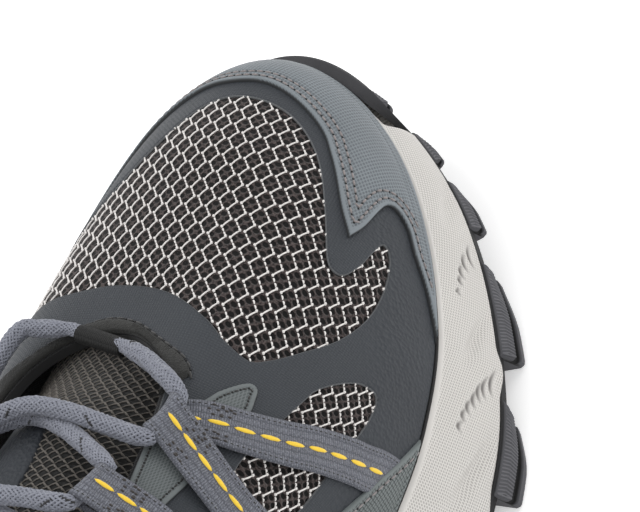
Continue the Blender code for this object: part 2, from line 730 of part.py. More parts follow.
def make_midsole():
    station = even_stations(SOLE_COLUMNS_AROUND)
    lip = SOLE["lip"](foot_x(station))
    bumper = bumper_share(station, BUMPER_EARLY)
    tray = lip - LIP_INSET - LIP_WIDTH - GAP
    rim = rim_up(station, 0.0)
    open_edge = lip + GAP_BULGE * space_share(station)
    toe_edge = BUMPER_OUT - BUMPER_WALL - GAP

    def step(x):
        return lip_top(x) + GAP

    low = sole_ring(station, open_edge * (1 - bumper) + toe_edge * bumper, step)
    high = skin(station, rim, GAP + RIM_EDGE)
    normal = np.column_stack((plan_normal(station), np.zeros(len(station))))
    rings = [
        sole_ring(station, tray, lambda x: plate_top(x) + GAP),
        sole_ring(station, np.minimum(tray, toe_edge - BUMPER_DRAFT * bumper), step),
        low,
    ]
    for share in WALL_LEVELS:
        bulge = WALL_BULGE * math.sin(math.pi * share) * (1 - bumper)
        rings.append(low + (high - low) * share + normal * bulge[:, None])
    rings += [high, skin(station, rim, GAP), skin(station, rim / 2, GAP)]
    corner = skin(station, 0.0, GAP)
    corner[:, 2] = SOLE["floor"](foot_x(station))
    rings.append(corner)
    return make_rings("midsole", rings, "foam")


# Upper, foot bed and tongue
def wall_thickness(station, up):
    from_heel = np.minimum(station, other_side(station))
    collar = 1 - smooth_step(*COLLAR_REACH, from_heel)
    pad = smooth_step(*PAD_RISE, up) * (1 - PAD_FALL_SHARE * smooth_step(*PAD_FALL, up))
    return UPPER_WALL + COLLAR_PAD * collar * pad


def make_upper():
    station = even_stations(UPPER_COLUMNS_AROUND)
    outer = [skin(station, up, 0.0) for up in UPPER_LEVELS]
    inner = [skin(station, up, -wall_thickness(station, up)) for up in UPPER_LEVELS]
    from_heel = np.minimum(station, other_side(station))
    crown = COLLAR_CROWN * (1 - smooth_step(*COLLAR_REACH, from_heel))
    top = (outer[-1] + inner[-1]) / 2
    top[:, 2] += EDGE_CROWN + crown
    return make_rings("upper", outer + [top] + inner[::-1], "mesh", closed=True)


def make_insole():
    station = even_stations(INSOLE_COLUMNS_AROUND)
    inset = -(UPPER_WALL + INSOLE_EDGE_GAP)
    floor = SOLE["floor"](foot_x(station))
    rings = []
    for lift in (GAP, GAP + INSOLE_THICK):
        ring = skin(station, INSOLE_UP, inset)
        ring[:, 2] = floor + lift
        rings.append(ring)
    return make_rings("insole", rings, "foot_bed")


def tongue_curves():
    table = np.array(TONGUE_ROWS, float)[::-1]
    return {name: monotone_curve(table[:, 0], table[:, n]) for n, name in enumerate(TONGUE_COLUMNS)}


TONGUE = tongue_curves()
TONGUE_START = TONGUE_ROWS[0][0]
TONGUE_END = TONGUE_ROWS[-1][0]


def tongue_top(x, y):
    share = (y - TONGUE_MIDDLE_Y) / TONGUE["half_width"](x)
    return TONGUE["crown"](x) - TONGUE["fall"](x) * share ** 2


def make_tongue():
    front_step, rear_step = TONGUE_SPACING
    front_xs = np.arange(TONGUE_START, TONGUE_BEND_X, -front_step)
    rear_count = round((TONGUE_BEND_X - TONGUE_END) / rear_step)
    xs = np.concatenate((front_xs, np.linspace(TONGUE_BEND_X, TONGUE_END, rear_count + 1)))
    shares = np.linspace(-1, 1, TONGUE_COLUMNS_ACROSS + 1)
    top, under = [], []
    for x in xs:
        y = TONGUE_MIDDLE_Y + shares * TONGUE["half_width"](x)
        z = tongue_top(x, y)
        front = smooth_step(TONGUE_START, TONGUE_START - TONGUE_FRONT_TAPER, x)
        thick = TONGUE_EDGE_THICK + (TONGUE_THICK - TONGUE_EDGE_THICK) * (1 - shares ** 4) * front
        top.append(np.column_stack((np.full_like(y, x), y, z)))
        under.append(np.column_stack((np.full_like(y, x), y, z - thick)))
    wide = len(shares)
    count = len(xs) * wide
    faces = []
    for r in range(len(xs) - 1):
        for i in range(wide - 1):
            a = r * wide + i
            faces.append((a, a + 1, a + wide + 1, a + wide))
            faces.append((a + count, a + wide + count, a + wide + 1 + count, a + 1 + count))
    border = list(range(wide)) + [r * wide + wide - 1 for r in range(1, len(xs))]
    border += list(range(count - 2, count - wide - 1, -1)) + [r * wide for r in range(len(xs) - 2, 0, -1)]
    for a, b in zip(border, border[1:] + border[:1]):
        faces.append((a, a + count, b + count, b))
    return make_object("tongue", np.concatenate(top + under), faces, "air_mesh")


# Layers over the upper
def make_film():
    front_low = along_rim(FILM_REAR[0][0], other_side(FILM_REAR[0][0]))[1:-1]
    inner_rear = flat_points(mirrored(FILM_REAR)[::-1])
    top = along_level(other_side(FILM_REAR[-1][0]), FILM_REAR[-1][0], FILM_TOP)
    outer_rear = flat_points(FILM_REAR[::-1])
    outline = np.concatenate((front_low, inner_rear[:-1], top, outer_rear[1:]))
    windows = [flat_outline(MESH_WINDOW, True), flat_outline(SIDE_WINDOW, True)]
    windows.append(flat_outline(mirrored(SIDE_WINDOW), True))
    return make_panel("film", outline, windows, FILM_LAYER, "film")


def make_toe_cap():
    edge = TOE_CAP_EDGE + mirrored(TOE_CAP_EDGE)[1:]
    top = flat_outline(edge, False)
    low = along_rim(edge[-1][0], edge[0][0])[1:-1]
    return make_panel("toe_cap", np.concatenate((top, low)), [], PANEL_LAYER, "embossed")


def make_quarter():
    outer_edge = [(station + STATIONS, up, corner) for station, up, corner in QUARTER_EDGE]
    edge = outer_edge + mirrored(QUARTER_EDGE)[1:]
    top = flat_outline(edge, False)
    low = along_rim(edge[-1][0], edge[0][0])[1:-1]
    return make_panel("quarter", np.concatenate((top, low)), [], PANEL_LAYER, "woven", QUARTER_STEP)


def make_eyestay(side):
    rows = EYESTAY_EDGE if side == "outer" else mirrored(EYESTAY_EDGE)
    return make_panel(f"eyestay_{side}", flat_outline(rows, True), [], PANEL_LAYER, "embossed")


def make_binding():
    start, end = BINDING_STATIONS
    low, high = BINDING_BAND
    outline = np.concatenate((along_level(start, end, low), along_level(end, start, high)))
    return make_panel("throat_binding", outline, [], PANEL_LAYER, "binding")


# Straps: a leg comes up, turns round the lace and goes down over itself
def tunnel(loop_station, side):
    station = on_side(loop_station, side)
    rising = wall_point(station, 1.0) - wall_point(station, 1.0 - EDGE_REACH)
    rising /= np.linalg.norm(rising)
    ahead = wall_point(on_side(loop_station + TUNNEL_REACH, side), 1.0)
    behind = wall_point(on_side(loop_station - TUNNEL_REACH, side), 1.0)
    axis = (ahead - behind) / np.linalg.norm(ahead - behind)
    rising -= axis * (rising @ axis)
    rising /= np.linalg.norm(rising)
    normal = np.cross(axis, rising)
    if normal[2] < 0:
        normal = -normal
    middle = wall_point(station, 1.0) + normal * LOOP_RISE + rising * LOOP_OUT
    return middle, axis, rising, normal


def make_strap(number, loop_station, under_points, over_points, side):
    middle, _, rising, normal = tunnel(loop_station, side)
    radius = LACE_DIAMETER / 2 + LACE_ROOM + WEBBING_THICK / 2
    path, over = [], []
    for back, up in reversed(LEG_UNDER[:under_points]):
        station = on_side(loop_station + back, side)
        path.append(skin(station, up, WEBBING_LOW))
        over.append(-wall_normal(station, up))
    start, end, steps = LOOP_TURN
    for angle in np.radians(np.linspace(start, end, steps)):
        radial = rising * math.cos(angle) + normal * math.sin(angle)
        path.append(middle + radial * radius)
        over.append(radial)
    for (back, up), lift in zip(LEG_OVER[:over_points], LEG_OVER_LIFT):
        station = on_side(loop_station + back, side)
        path.append(skin(station, up, WEBBING_LOW + lift))
        over.append(wall_normal(station, up))
    sections = []
    for i, point in enumerate(path):
        run = path[min(i + 1, len(path) - 1)] - path[max(i - 1, 0)]
        run /= np.linalg.norm(run)
        across = np.cross(over[i], run)
        across /= np.linalg.norm(across)
        if i == 0:
            across = across + run * LEG_UNDER_SLANT * (1 if side == "outer" else -1)
        sections.append((point, across, np.cross(run, across) / np.linalg.norm(np.cross(run, across))))
    return make_strip(f"strap_{side}_{number}", sections, WEBBING_WIDTH, WEBBING_THICK, "webbing")


def make_keeper():
    sections = []
    for i, (x, z) in enumerate(KEEPER_PATH):
        ahead = np.array(KEEPER_PATH[min(i + 1, len(KEEPER_PATH) - 1)])
        behind = np.array(KEEPER_PATH[max(i - 1, 0)])
        run = (ahead - behind) / np.linalg.norm(ahead - behind)
        over = np.array([run[1], 0.0, -run[0]])
        sections.append((np.array([x, TONGUE_MIDDLE_Y, z]), np.array([0.0, 1.0, 0.0]), over))
    return make_strip("lace_keeper", sections, KEEPER_WIDTH, KEEPER_THICK, "binding")


# Lace: ends in the top tunnels, crosses the tongue twice each way and joins in the bar under the keeper
def lace_route():
    stations = [row[0] for row in LOOP_ROWS]
    lift = LACE_DIAMETER / 2 + LACE_REST

    def pass_tunnel(number, side, forward):
        middle, axis, _, _ = tunnel(stations[number], side)
        run = axis * LACE_RUN_OUT * (1 if forward else -1)
        return [middle - run, middle, middle + run]

    def crossing(number, above):
        rear_outer = pass_tunnel(number, "outer", True)[0]
        front_inner = pass_tunnel(number + 1, "inner", True)[2]
        middle = (rear_outer + front_inner) / 2
        middle[1] = TONGUE_MIDDLE_Y
        rise = LACE_DIAMETER + LACE_REST if above else 0.0
        middle[2] = tongue_top(middle[0], middle[1]) + lift + rise
        return middle

    half = []
    for side, away, tops in (("outer", "inner", (True, False)), ("inner", "outer", (False, True))):
        run = pass_tunnel(0, side, False)
        run += [crossing(0, tops[0])]
        run += pass_tunnel(1, away, False)
        run += [crossing(1, tops[1])]
        run += pass_tunnel(2, side, False)[:2]
        half.append(run)
    bar = []
    for x, aside, clear in LACE_BAR:
        y = TONGUE_MIDDLE_Y + aside
        bar.append(np.array([x, y, float(tongue_top(x, y)) + lift + clear]))
    return half[0][::-1] + bar + half[1]


def make_lace():
    route = lace_route()
    path = through_points(route, [0] * len(route), LACE_PITCH, False)
    curve = bpy.data.curves.new("lace", "CURVE")
    curve.dimensions = "3D"
    curve.bevel_depth = LACE_DIAMETER / 2 * MM
    curve.bevel_resolution = 2
    curve.use_fill_caps = True
    spline = curve.splines.new("POLY")
    spline.points.add(len(path) - 1)
    for spot, point in zip(spline.points, path):
        spot.co = (*(point * MM), 1.0)
    curve.materials.append(make_material("cord"))
    lace = bpy.data.objects.new("lace", curve)
    lace.parent = SHOE
    bpy.context.collection.objects.link(lace)
    return lace


for old in list(bpy.data.objects):
    bpy.data.objects.remove(old, do_unlink=True)
SHOE = bpy.data.objects.new("shoe", None)
SHOE.location = (-ORIGIN_X * MM, -ORIGIN_Y * MM, 0.0)
bpy.context.collection.objects.link(SHOE)

make_outsole()
make_midsole()
make_upper()
make_insole()
make_tongue()
make_film()
make_toe_cap()
make_quarter()
make_binding()
for strap_side in ("outer", "inner"):
    make_eyestay(strap_side)
    for strap_number, strap_row in enumerate(LOOP_ROWS, start=1):
        make_strap(strap_number, *strap_row, strap_side)
make_keeper()
make_lace()
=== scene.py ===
import math

import bmesh
import bpy
import numpy as np
from mathutils import Matrix, Vector
from mathutils.bvhtree import BVHTree
from mathutils.geometry import delaunay_2d_cdt


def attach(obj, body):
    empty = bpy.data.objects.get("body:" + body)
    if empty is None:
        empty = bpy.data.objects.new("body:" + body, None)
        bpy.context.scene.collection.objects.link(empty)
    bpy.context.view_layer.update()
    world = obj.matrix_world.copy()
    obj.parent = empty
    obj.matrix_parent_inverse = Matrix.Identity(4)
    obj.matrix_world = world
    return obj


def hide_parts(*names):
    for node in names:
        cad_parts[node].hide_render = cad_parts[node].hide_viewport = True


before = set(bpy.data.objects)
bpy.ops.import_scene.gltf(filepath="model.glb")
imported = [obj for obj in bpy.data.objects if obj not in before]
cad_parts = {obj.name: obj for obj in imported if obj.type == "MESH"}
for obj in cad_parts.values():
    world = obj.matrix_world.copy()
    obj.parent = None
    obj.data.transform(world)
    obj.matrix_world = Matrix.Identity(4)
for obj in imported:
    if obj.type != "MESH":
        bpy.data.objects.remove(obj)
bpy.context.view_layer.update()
mm = 0.001
print("frame loaded:", len(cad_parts), "nodes")


# The last, in millimetres: +X to the toe, -Y outer side, +Z up
lastForm = {
    "length": 300.0,
    "ballWidth": 100.0,
    "instep": 104.0,
    "heel": 102.0,
    "originX": 150.7,
    "originY": -1.3,
    "gap": 0.3,
    # height, foot x and y, edge x, y and z, lean, rise, reach, swell, sag
    "rows": [
        ("heel", 2.3, 0.0, 5.0, 0.0, 100.0, 4, 26, 0.30, 2, 26),
        ("heel", 5.7, -24.5, 7.7, -20.5, 96.0, 4, 25, 0.30, 2, 25),
        ("heel", 15.0, -34.5, 15.3, -30.5, 84.5, 4, 24, 0.30, 2, 20),
        ("instep", 28.3, -37.0, 26.0, -33.0, 74.0, 4, 22, 0.30, 4, 18),
        ("instep", 41.7, -40.0, 35.0, -31.0, 82.5, 5, 24, 0.30, 6, 22),
        ("instep", 53.3, -44.5, 42.0, -26.5, 99.0, 5, 26, 0.30, 8, 22),
        ("instep", 66.0, -50.0, 51.3, -23.5, 93.0, 5, 25, 0.35, 7, 16),
        ("instep", 77.0, -45.5, 60.5, -20.5, 84.0, 4, 21, 0.45, 5, 13.5),
        ("instep", 88.3, -32.5, 64.8, -14.5, 80.3, 5, 21, 0.52, 2, 11.5),
        ("instep", 94.8, -17.0, 66.7, -6.5, 78.8, 6, 22, 0.52, 0, 10.5),
        ("instep", 98.2, 5.0, 67.2, 2.5, 78.4, 7, 23, 0.52, 0, 10.5),
        ("instep", 95.3, 26.5, 66.7, 11.5, 78.8, 6, 22, 0.52, 0, 10.5),
        ("instep", 89.2, 38.5, 64.8, 19.0, 80.3, 5, 21, 0.52, 2, 11.5),
        ("instep", 80.2, 47.5, 60.5, 24.0, 84.0, 4, 21, 0.45, 5, 13.5),
        ("instep", 68.7, 47.0, 51.3, 26.0, 93.3, 5, 25, 0.35, 7, 16),
        ("instep", 56.0, 39.0, 42.0, 28.5, 100.0, 5, 26, 0.30, 8, 22),
        ("instep", 42.7, 29.5, 35.0, 31.5, 84.5, 5, 24, 0.30, 6, 22),
        ("instep", 29.3, 29.5, 26.0, 32.5, 76.0, 4, 22, 0.30, 4, 18),
        ("heel", 15.7, 32.5, 15.3, 30.0, 85.5, 4, 24, 0.30, 2, 20),
        ("heel", 6.0, 23.5, 7.7, 20.0, 96.0, 4, 25, 0.30, 2, 25),
    ],
    "creaseFade": (0.12, 0.76),
    # flex creases: start and end as (station, up), depth, half width
    "creases": [
        ((6.95, 0.16), (6.62, 0.60), -0.45, 4.0),
        ((6.15, 0.14), (6.30, 0.34), -0.35, 5.0),
        ((13.05, 0.16), (13.40, 0.60), -0.45, 4.0),
        ((8.6, 0.70), (11.4, 0.70), -0.30, 6.0),
        ((8.2, 0.56), (11.8, 0.56), 0.25, 5.0),
        ((3.3, 0.55), (4.2, 0.86), -0.50, 5.0),
        ((16.7, 0.55), (15.8, 0.86), -0.50, 5.0),
    ],
}

soleForm = {
    # x in hundredths of the length, then ground, floor, rim, lip and tread in millimetres
    "rows": [
        (-2.0, 6.5, 28.0, 39.5, 6.0, 7.0),
        (0.0, 4.5, 28.0, 39.3, 6.0, 7.6),
        (6.7, 0.0, 28.0, 38.8, 6.5, 8.6),
        (20.0, 0.0, 28.0, 38.0, 7.5, 9.5),
        (29.0, 0.0, 27.3, 37.6, 8.0, 9.8),
        (43.3, 3.0, 25.5, 37.0, 9.0, 10.5),
        (54.0, 0.0, 23.8, 35.0, 9.8, 12.0),
        (68.3, 0.0, 22.0, 30.5, 9.0, 11.0),
        (75.0, 0.3, 22.0, 28.5, 7.8, 9.7),
        (86.7, 6.0, 26.0, 31.0, 7.0, 8.0),
        (95.0, 14.5, 31.5, 36.0, 6.0, 6.5),
        (101.0, 23.2, 36.0, 41.2, 6.0, 6.0),
        (104.0, 27.0, 38.0, 43.0, 6.0, 6.0),
    ],
    "lugDepth": 5.5,
    "plate": 2.5,
    "lipHeight": 1.2,
    "lipWidth": 1.6,
    "lipInset": 0.4,
    "bumperOut": 6.0,
    "bumperWall": 3.4,
    "bumperRise": 0.3,
    "bumperFade": 0.12,
    "bumperEarly": 0.16,
    "bumperStations": (8.95, 11.05),
    "spaceReach": 1.35,
    # edge lugs of the outer side: front and rear station, foot height, sweep
    "lugs": [
        (9.72, 9.16, 2.0, 2.0), (8.75, 8.40, 4.6, 1.0), (8.19, 7.77, 2.0, 1.5), (7.54, 6.86, 0.0, 3.0),
        (6.55, 5.87, 0.0, 6.0), (5.53, 4.84, 0.0, 6.0), (4.47, 3.79, 0.0, 6.0), (3.47, 2.84, 0.0, 6.0),
        (2.52, 1.89, 0.0, 6.0), (1.45, 0.55, 0.0, 6.0),
    ],
}
# small steps for finding directions on the wall, and the search for the rim
findForm = {"plan": 0.5, "station": 0.02, "up": 0.004, "rimTop": 0.6, "rimRounds": 30}
wallSpan = 85.0      # millimetres up the wall in flat drawings


def cyclicSpline(knots, values):
    count = len(values)
    step = np.diff(knots)
    matrix = np.zeros((count, count))
    right = np.zeros((count, values.shape[1]))
    for i in range(count):
        before, after = step[i - 1], step[i]
        matrix[i, i - 1] += before
        matrix[i, i] += 2 * (before + after)
        matrix[i, (i + 1) % count] += after
        slopeAfter = (values[(i + 1) % count] - values[i]) / after
        slopeBefore = (values[i] - values[i - 1]) / before
        right[i] = 6 * (slopeAfter - slopeBefore)
    bend = np.linalg.solve(matrix, right)

    def curve(t):
        t = np.mod(t, knots[-1])
        k = np.clip(np.searchsorted(knots, t, side="right") - 1, 0, count - 1)
        left = (knots[k + 1] - t)[:, None]
        past = (t - knots[k])[:, None]
        h = step[k][:, None]
        low, high = values[k], values[(k + 1) % count]
        bendLow, bendHigh = bend[k], bend[(k + 1) % count]
        cubic = (bendLow * left ** 3 + bendHigh * past ** 3) / (6 * h)
        return cubic + (low / h - bendLow * h / 6) * left + (high / h - bendHigh * h / 6) * past

    return curve


def monotoneCurve(xs, ys):
    step = np.diff(xs)
    slope = np.diff(ys) / step
    both = slope[:-1] * slope[1:]
    total = slope[:-1] + slope[1:]
    middle = np.where(both > 0, 2 * both / np.where(both > 0, total, 1.0), 0.0)
    tangent = np.concatenate(([slope[0]], middle, [slope[-1]]))

    def curve(x):
        x = np.clip(np.asarray(x, float), xs[0], xs[-1])
        k = np.clip(np.searchsorted(xs, x, side="right") - 1, 0, len(step) - 1)
        u = (x - xs[k]) / step[k]
        ends = ys[k] * (1 + 2 * u) * (1 - u) ** 2 + ys[k + 1] * u ** 2 * (3 - 2 * u)
        return ends + step[k] * u * (1 - u) * (tangent[k] * (1 - u) - tangent[k + 1] * u)

    return curve


def smoothStep(low, high, value):
    share = np.clip((np.asarray(value, float) - low) / (high - low), 0.0, 1.0)
    return share * share * (3 - 2 * share)


def readLast():
    table = []
    for height, footX, footY, edgeX, edgeY, edgeZ, *bend in lastForm["rows"]:
        along, across = lastForm["length"] / 100, lastForm["ballWidth"] / 100
        edgeHeight = edgeZ * lastForm[height] / 100
        table.append((footX * along, footY * across, edgeX * along, edgeY * across, edgeHeight, *bend))
    return np.array(table, float)


lastTable = readLast()
stations = len(lastTable)
chords = np.hypot(*(np.roll(lastTable[:, :2], -1, axis=0) - lastTable[:, :2]).T)
aroundKnots = np.concatenate(([0.0], np.cumsum(chords)))
lastCurve = cyclicSpline(aroundKnots, lastTable)
soleCurve = {}
for number, name in enumerate(("ground", "floor", "rim", "lip", "tread"), start=1):
    soleX = np.array([row[0] for row in soleForm["rows"]]) * lastForm["length"] / 100
    soleCurve[name] = monotoneCurve(soleX, np.array([row[number] for row in soleForm["rows"]]))


# distance round the foot line for a station, and back
def around(station):
    turn = np.floor(np.asarray(station, float) / stations)
    rest = np.interp(station - turn * stations, np.arange(stations + 1), aroundKnots)
    return rest + turn * aroundKnots[-1]


def stationOf(distance):
    turn = np.floor(np.asarray(distance, float) / aroundKnots[-1])
    rest = distance - turn * aroundKnots[-1]
    return np.interp(rest, aroundKnots, np.arange(stations + 1)) + turn * stations


def onSide(station, side):
    return station if side == "outer" else stations - station


def planNormal(station):
    t = around(station)
    run = lastCurve(t + findForm["plan"])[:, :2] - lastCurve(t - findForm["plan"])[:, :2]
    run /= np.linalg.norm(run, axis=1)[:, None]
    return np.column_stack((run[:, 1], -run[:, 0]))


# outside of the wall: a cubic from the foot line up to the top edge at each station
def wallPoint(station, up):
    station, up = np.broadcast_arrays(np.asarray(station, float), np.asarray(up, float))
    flat, share = station.ravel(), up.ravel()[:, None]
    row = lastCurve(around(flat))
    foot, edge, edgeZ = row[:, 0:2], row[:, 2:4], row[:, 4]
    lean, rise, reach, swell, sag = row[:, 5:10].T
    normal = planNormal(flat)
    base = soleCurve["floor"](foot[:, 0]) + lastForm["gap"]
    low = np.column_stack((foot, base))
    lowPull = np.column_stack((foot + normal * lean[:, None], base + rise))
    highPlan = edge + (foot - edge) * reach[:, None] + normal * swell[:, None]
    highPull = np.column_stack((highPlan, edgeZ - sag))
    high = np.column_stack((edge, edgeZ))
    left = 1 - share
    lower = low * left ** 3 + 3 * lowPull * left ** 2 * share
    point = lower + 3 * highPull * left * share ** 2 + high * share ** 3
    return point.reshape(station.shape + (3,))


def wallNormal(station, up):
    station, up = np.broadcast_arrays(np.asarray(station, float), np.asarray(up, float))
    along = wallPoint(station + findForm["station"], up) - wallPoint(station - findForm["station"], up)
    low, high = np.maximum(up - findForm["up"], 0), np.minimum(up + findForm["up"], 1)
    rising = wallPoint(station, high) - wallPoint(station, low)
    normal = np.cross(along, rising)
    return normal / np.linalg.norm(normal, axis=-1)[..., None]


# soft troughs and ridges placed where the shoe flexes
def creaseOut(station, up):
    flat = np.stack((around(np.mod(station, stations)), np.asarray(up) * wallSpan), axis=-1)
    out = np.zeros(flat.shape[:-1])
    fadeStart, fadeSpan = lastForm["creaseFade"]
    for start, end, depth, half in lastForm["creases"]:
        a = np.array((around(start[0]), start[1] * wallSpan))
        run = np.array((around(end[0]), end[1] * wallSpan)) - a
        share = np.clip(((flat - a) @ run) / (run @ run), 0, 1)
        gap = np.linalg.norm(flat - a - share[..., None] * run, axis=-1)
        out += depth * np.exp(-(gap / half) ** 2) * np.sin(math.pi * (fadeStart + fadeSpan * share))
    return out


def skin(station, up, out):
    station, up = np.broadcast_arrays(np.asarray(station, float), np.asarray(up, float))
    out = np.broadcast_to(np.asarray(out, float), station.shape) + creaseOut(station, up)
    return wallPoint(station, up) + wallNormal(station, up) * out[..., None]


def footX(station):
    return lastCurve(around(station))[:, 0]


# share up the wall where it meets the midsole's rim, so many millimetres above it
def rimUp(station, lift):
    station = np.asarray(station, float)
    height = soleCurve["rim"](footX(station)) + lift
    low, high = np.zeros_like(station), np.full_like(station, findForm["rimTop"])
    for _ in range(findForm["rimRounds"]):
        middle = (low + high) / 2
        below = wallPoint(station, middle)[..., 2] < height
        low = np.where(below, middle, low)
        high = np.where(below, high, middle)
    return (low + high) / 2


def soleRing(station, out, level):
    plan = lastCurve(around(station))[:, :2] + planNormal(station) * np.asarray(out, float).reshape(-1, 1)
    return np.column_stack((plan, level(plan[:, 0])))


def plateBottom(x):
    return soleCurve["ground"](x) + soleForm["lugDepth"]


def plateTop(x):
    return plateBottom(x) + soleForm["plate"]


def lipTop(x):
    return plateTop(x) + soleForm["lipHeight"]


def bumperShare(station, early=0.0):
    start, end = soleForm["bumperStations"]
    fade = soleForm["bumperFade"]
    rising = smoothStep(start - fade - early, start + fade - 2 * early, station)
    return rising * (1 - smoothStep(end - fade + 2 * early, end + fade + early, station))


# one in the middle of the space between two edge lugs, nothing beside a lug
def spaceShare(station):
    folded = np.minimum(station, stations - station)
    share = np.zeros_like(folded)
    for ahead, behind in zip(soleForm["lugs"][:-1], soleForm["lugs"][1:]):
        middle, half = (ahead[1] + behind[0]) / 2, (ahead[1] - behind[0]) / 2
        share += 1 - smoothStep(0.0, soleForm["spaceReach"] * half, np.abs(folded - middle))
    return share


# even steps of distance round the foot line, as stations
def evenStations(count):
    return stationOf(np.arange(count) * aroundKnots[-1] / count)


print("last ready:", round(aroundKnots[-1]), "mm round the foot line")


# Mesh helpers
def addMesh(name, points, faces, materials, uvs=None, slots=None, sharp=50):
    mesh = bpy.data.meshes.new(name)
    placed = np.asarray(points, float) - (lastForm["originX"], lastForm["originY"], 0.0)
    mesh.from_pydata((placed * mm).tolist(), [], faces)
    for material in materials:
        mesh.materials.append(material)
    if slots is not None:
        mesh.polygons.foreach_set("material_index", np.asarray(slots, np.int32))
    corners = np.empty(len(mesh.loops), np.int32)
    mesh.loops.foreach_get("vertex_index", corners)
    for layer, coords in (uvs or {}).items():
        uvLayer = mesh.uv_layers.new(name=layer)
        uvLayer.data.foreach_set("uv", np.asarray(coords, np.float32)[corners].ravel())
    shape = bmesh.new()
    shape.from_mesh(mesh)
    bmesh.ops.recalc_face_normals(shape, faces=shape.faces)
    if shape.calc_volume(signed=True) < 0:
        bmesh.ops.reverse_faces(shape, faces=shape.faces)
    shape.to_mesh(mesh)
    shape.free()
    mesh.shade_smooth()
    mesh.set_sharp_from_angle(angle=math.radians(sharp))
    piece = bpy.data.objects.new(name, mesh)
    bpy.context.scene.collection.objects.link(piece)
    return piece


def finishPiece(piece, slotName, *nodes):
    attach(piece, "root")
    if nodes:
        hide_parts(*nodes)
    return piece


# quads between rings of equal count; closed joins the last ring to the first, else the ends are filled
def ringFaces(ringCount, count, closed):
    faces = []
    for r in range(ringCount if closed else ringCount - 1):
        low, high = r * count, (r + 1) % ringCount * count
        for i in range(count):
            j = (i + 1) % count
            faces.append((low + i, low + j, high + j, high + i))
    if not closed:
        for start in (0, (ringCount - 1) * count):
            half = count // 2
            faces.append((start, start + 1, start + count - 1))
            for i in range(1, half - 1):
                faces.append((start + i, start + i + 1, start + count - i - 1, start + count - i))
            faces.append((start + half - 1, start + half, start + half + 1))
    return faces


# a smooth path through points, with straight sides at marked corners
def throughPoints(points, corners, step, closed):
    points = np.asarray(points, float)
    count = len(points)
    tangent = np.zeros_like(points)
    for i in range(count):
        before = points[i - 1] if closed or i > 0 else points[i]
        after = points[(i + 1) % count] if closed or i < count - 1 else points[i]
        tangent[i] = (after - before) / 2
    path = []
    for i in range(count if closed else count - 1):
        j = (i + 1) % count
        chord = points[j] - points[i]
        pullI = chord if corners[i] else tangent[i]
        pullJ = chord if corners[j] else tangent[j]
        pieces = max(1, round(np.linalg.norm(chord) / step))
        for k in range(pieces):
            u = k / pieces
            ends = points[i] * (1 + 2 * u) * (1 - u) ** 2 + points[j] * u ** 2 * (3 - 2 * u)
            path.append(ends + u * (1 - u) * (pullI * (1 - u) - pullJ * u))
    if not closed:
        path.append(points[-1])
    return np.array(path)


def evenPath(path, step):
    gaps = np.linalg.norm(np.diff(path, axis=0), axis=1)
    run = np.concatenate(([0.0], np.cumsum(gaps)))
    count = max(2, round(run[-1] / step) + 1)
    at = np.linspace(0, run[-1], count)
    return np.column_stack([np.interp(at, run, path[:, k]) for k in range(path.shape[1])])


def unit(vectors):
    return vectors / np.linalg.norm(vectors, axis=-1)[..., None]


# Geometry Nodes: threads along paths, and stitches set along a row
def makeTree(name, sockets, nodes, links):
    tree = bpy.data.node_groups.new(name, "GeometryNodeTree")
    for label, kind in {"Geometry": "Geometry", **sockets}.items():
        tree.interface.new_socket(label, in_out="INPUT", socket_type="NodeSocket" + kind)
    tree.interface.new_socket("Geometry", in_out="OUTPUT", socket_type="NodeSocketGeometry")
    made = {"source": tree.nodes.new("NodeGroupInput"), "out": tree.nodes.new("NodeGroupOutput")}
    for label, (kind, settings) in nodes.items():
        made[label] = tree.nodes.new(kind)
        for key, value in settings.items():
            if key in made[label].inputs:
                made[label].inputs[key].default_value = value
            else:
                setattr(made[label], key, value)
    for link in links:
        (first, output), (second, entry) = (end.split(".") for end in link.split(" > "))
        tree.links.new(made[first].outputs[output], made[second].inputs[entry])
    return tree


threadTree = makeTree("threadAlongPath", {"Radius": "Float", "Sides": "Int", "Material": "Material"}, {
    "toCurve": ("GeometryNodeMeshToCurve", {}),
    "thick": ("GeometryNodeInputNamedAttribute", {"data_type": "FLOAT", "Name": "thick"}),
    "circle": ("GeometryNodeCurvePrimitiveCircle", {}),
    "tube": ("GeometryNodeCurveToMesh", {"Fill Caps": True}),
    "smooth": ("GeometryNodeSetShadeSmooth", {}),
    "realize": ("GeometryNodeRealizeInstances", {}),
    "paint": ("GeometryNodeSetMaterial", {}),
}, [
    "source.Geometry > toCurve.Mesh", "source.Radius > circle.Radius", "source.Sides > circle.Resolution",
    "toCurve.Curve > tube.Curve", "circle.Curve > tube.Profile Curve", "thick.Attribute > tube.Scale",
    "tube.Mesh > smooth.Geometry", "smooth.Geometry > realize.Geometry",
    "realize.Geometry > paint.Geometry", "source.Material > paint.Material", "paint.Geometry > out.Geometry",
])
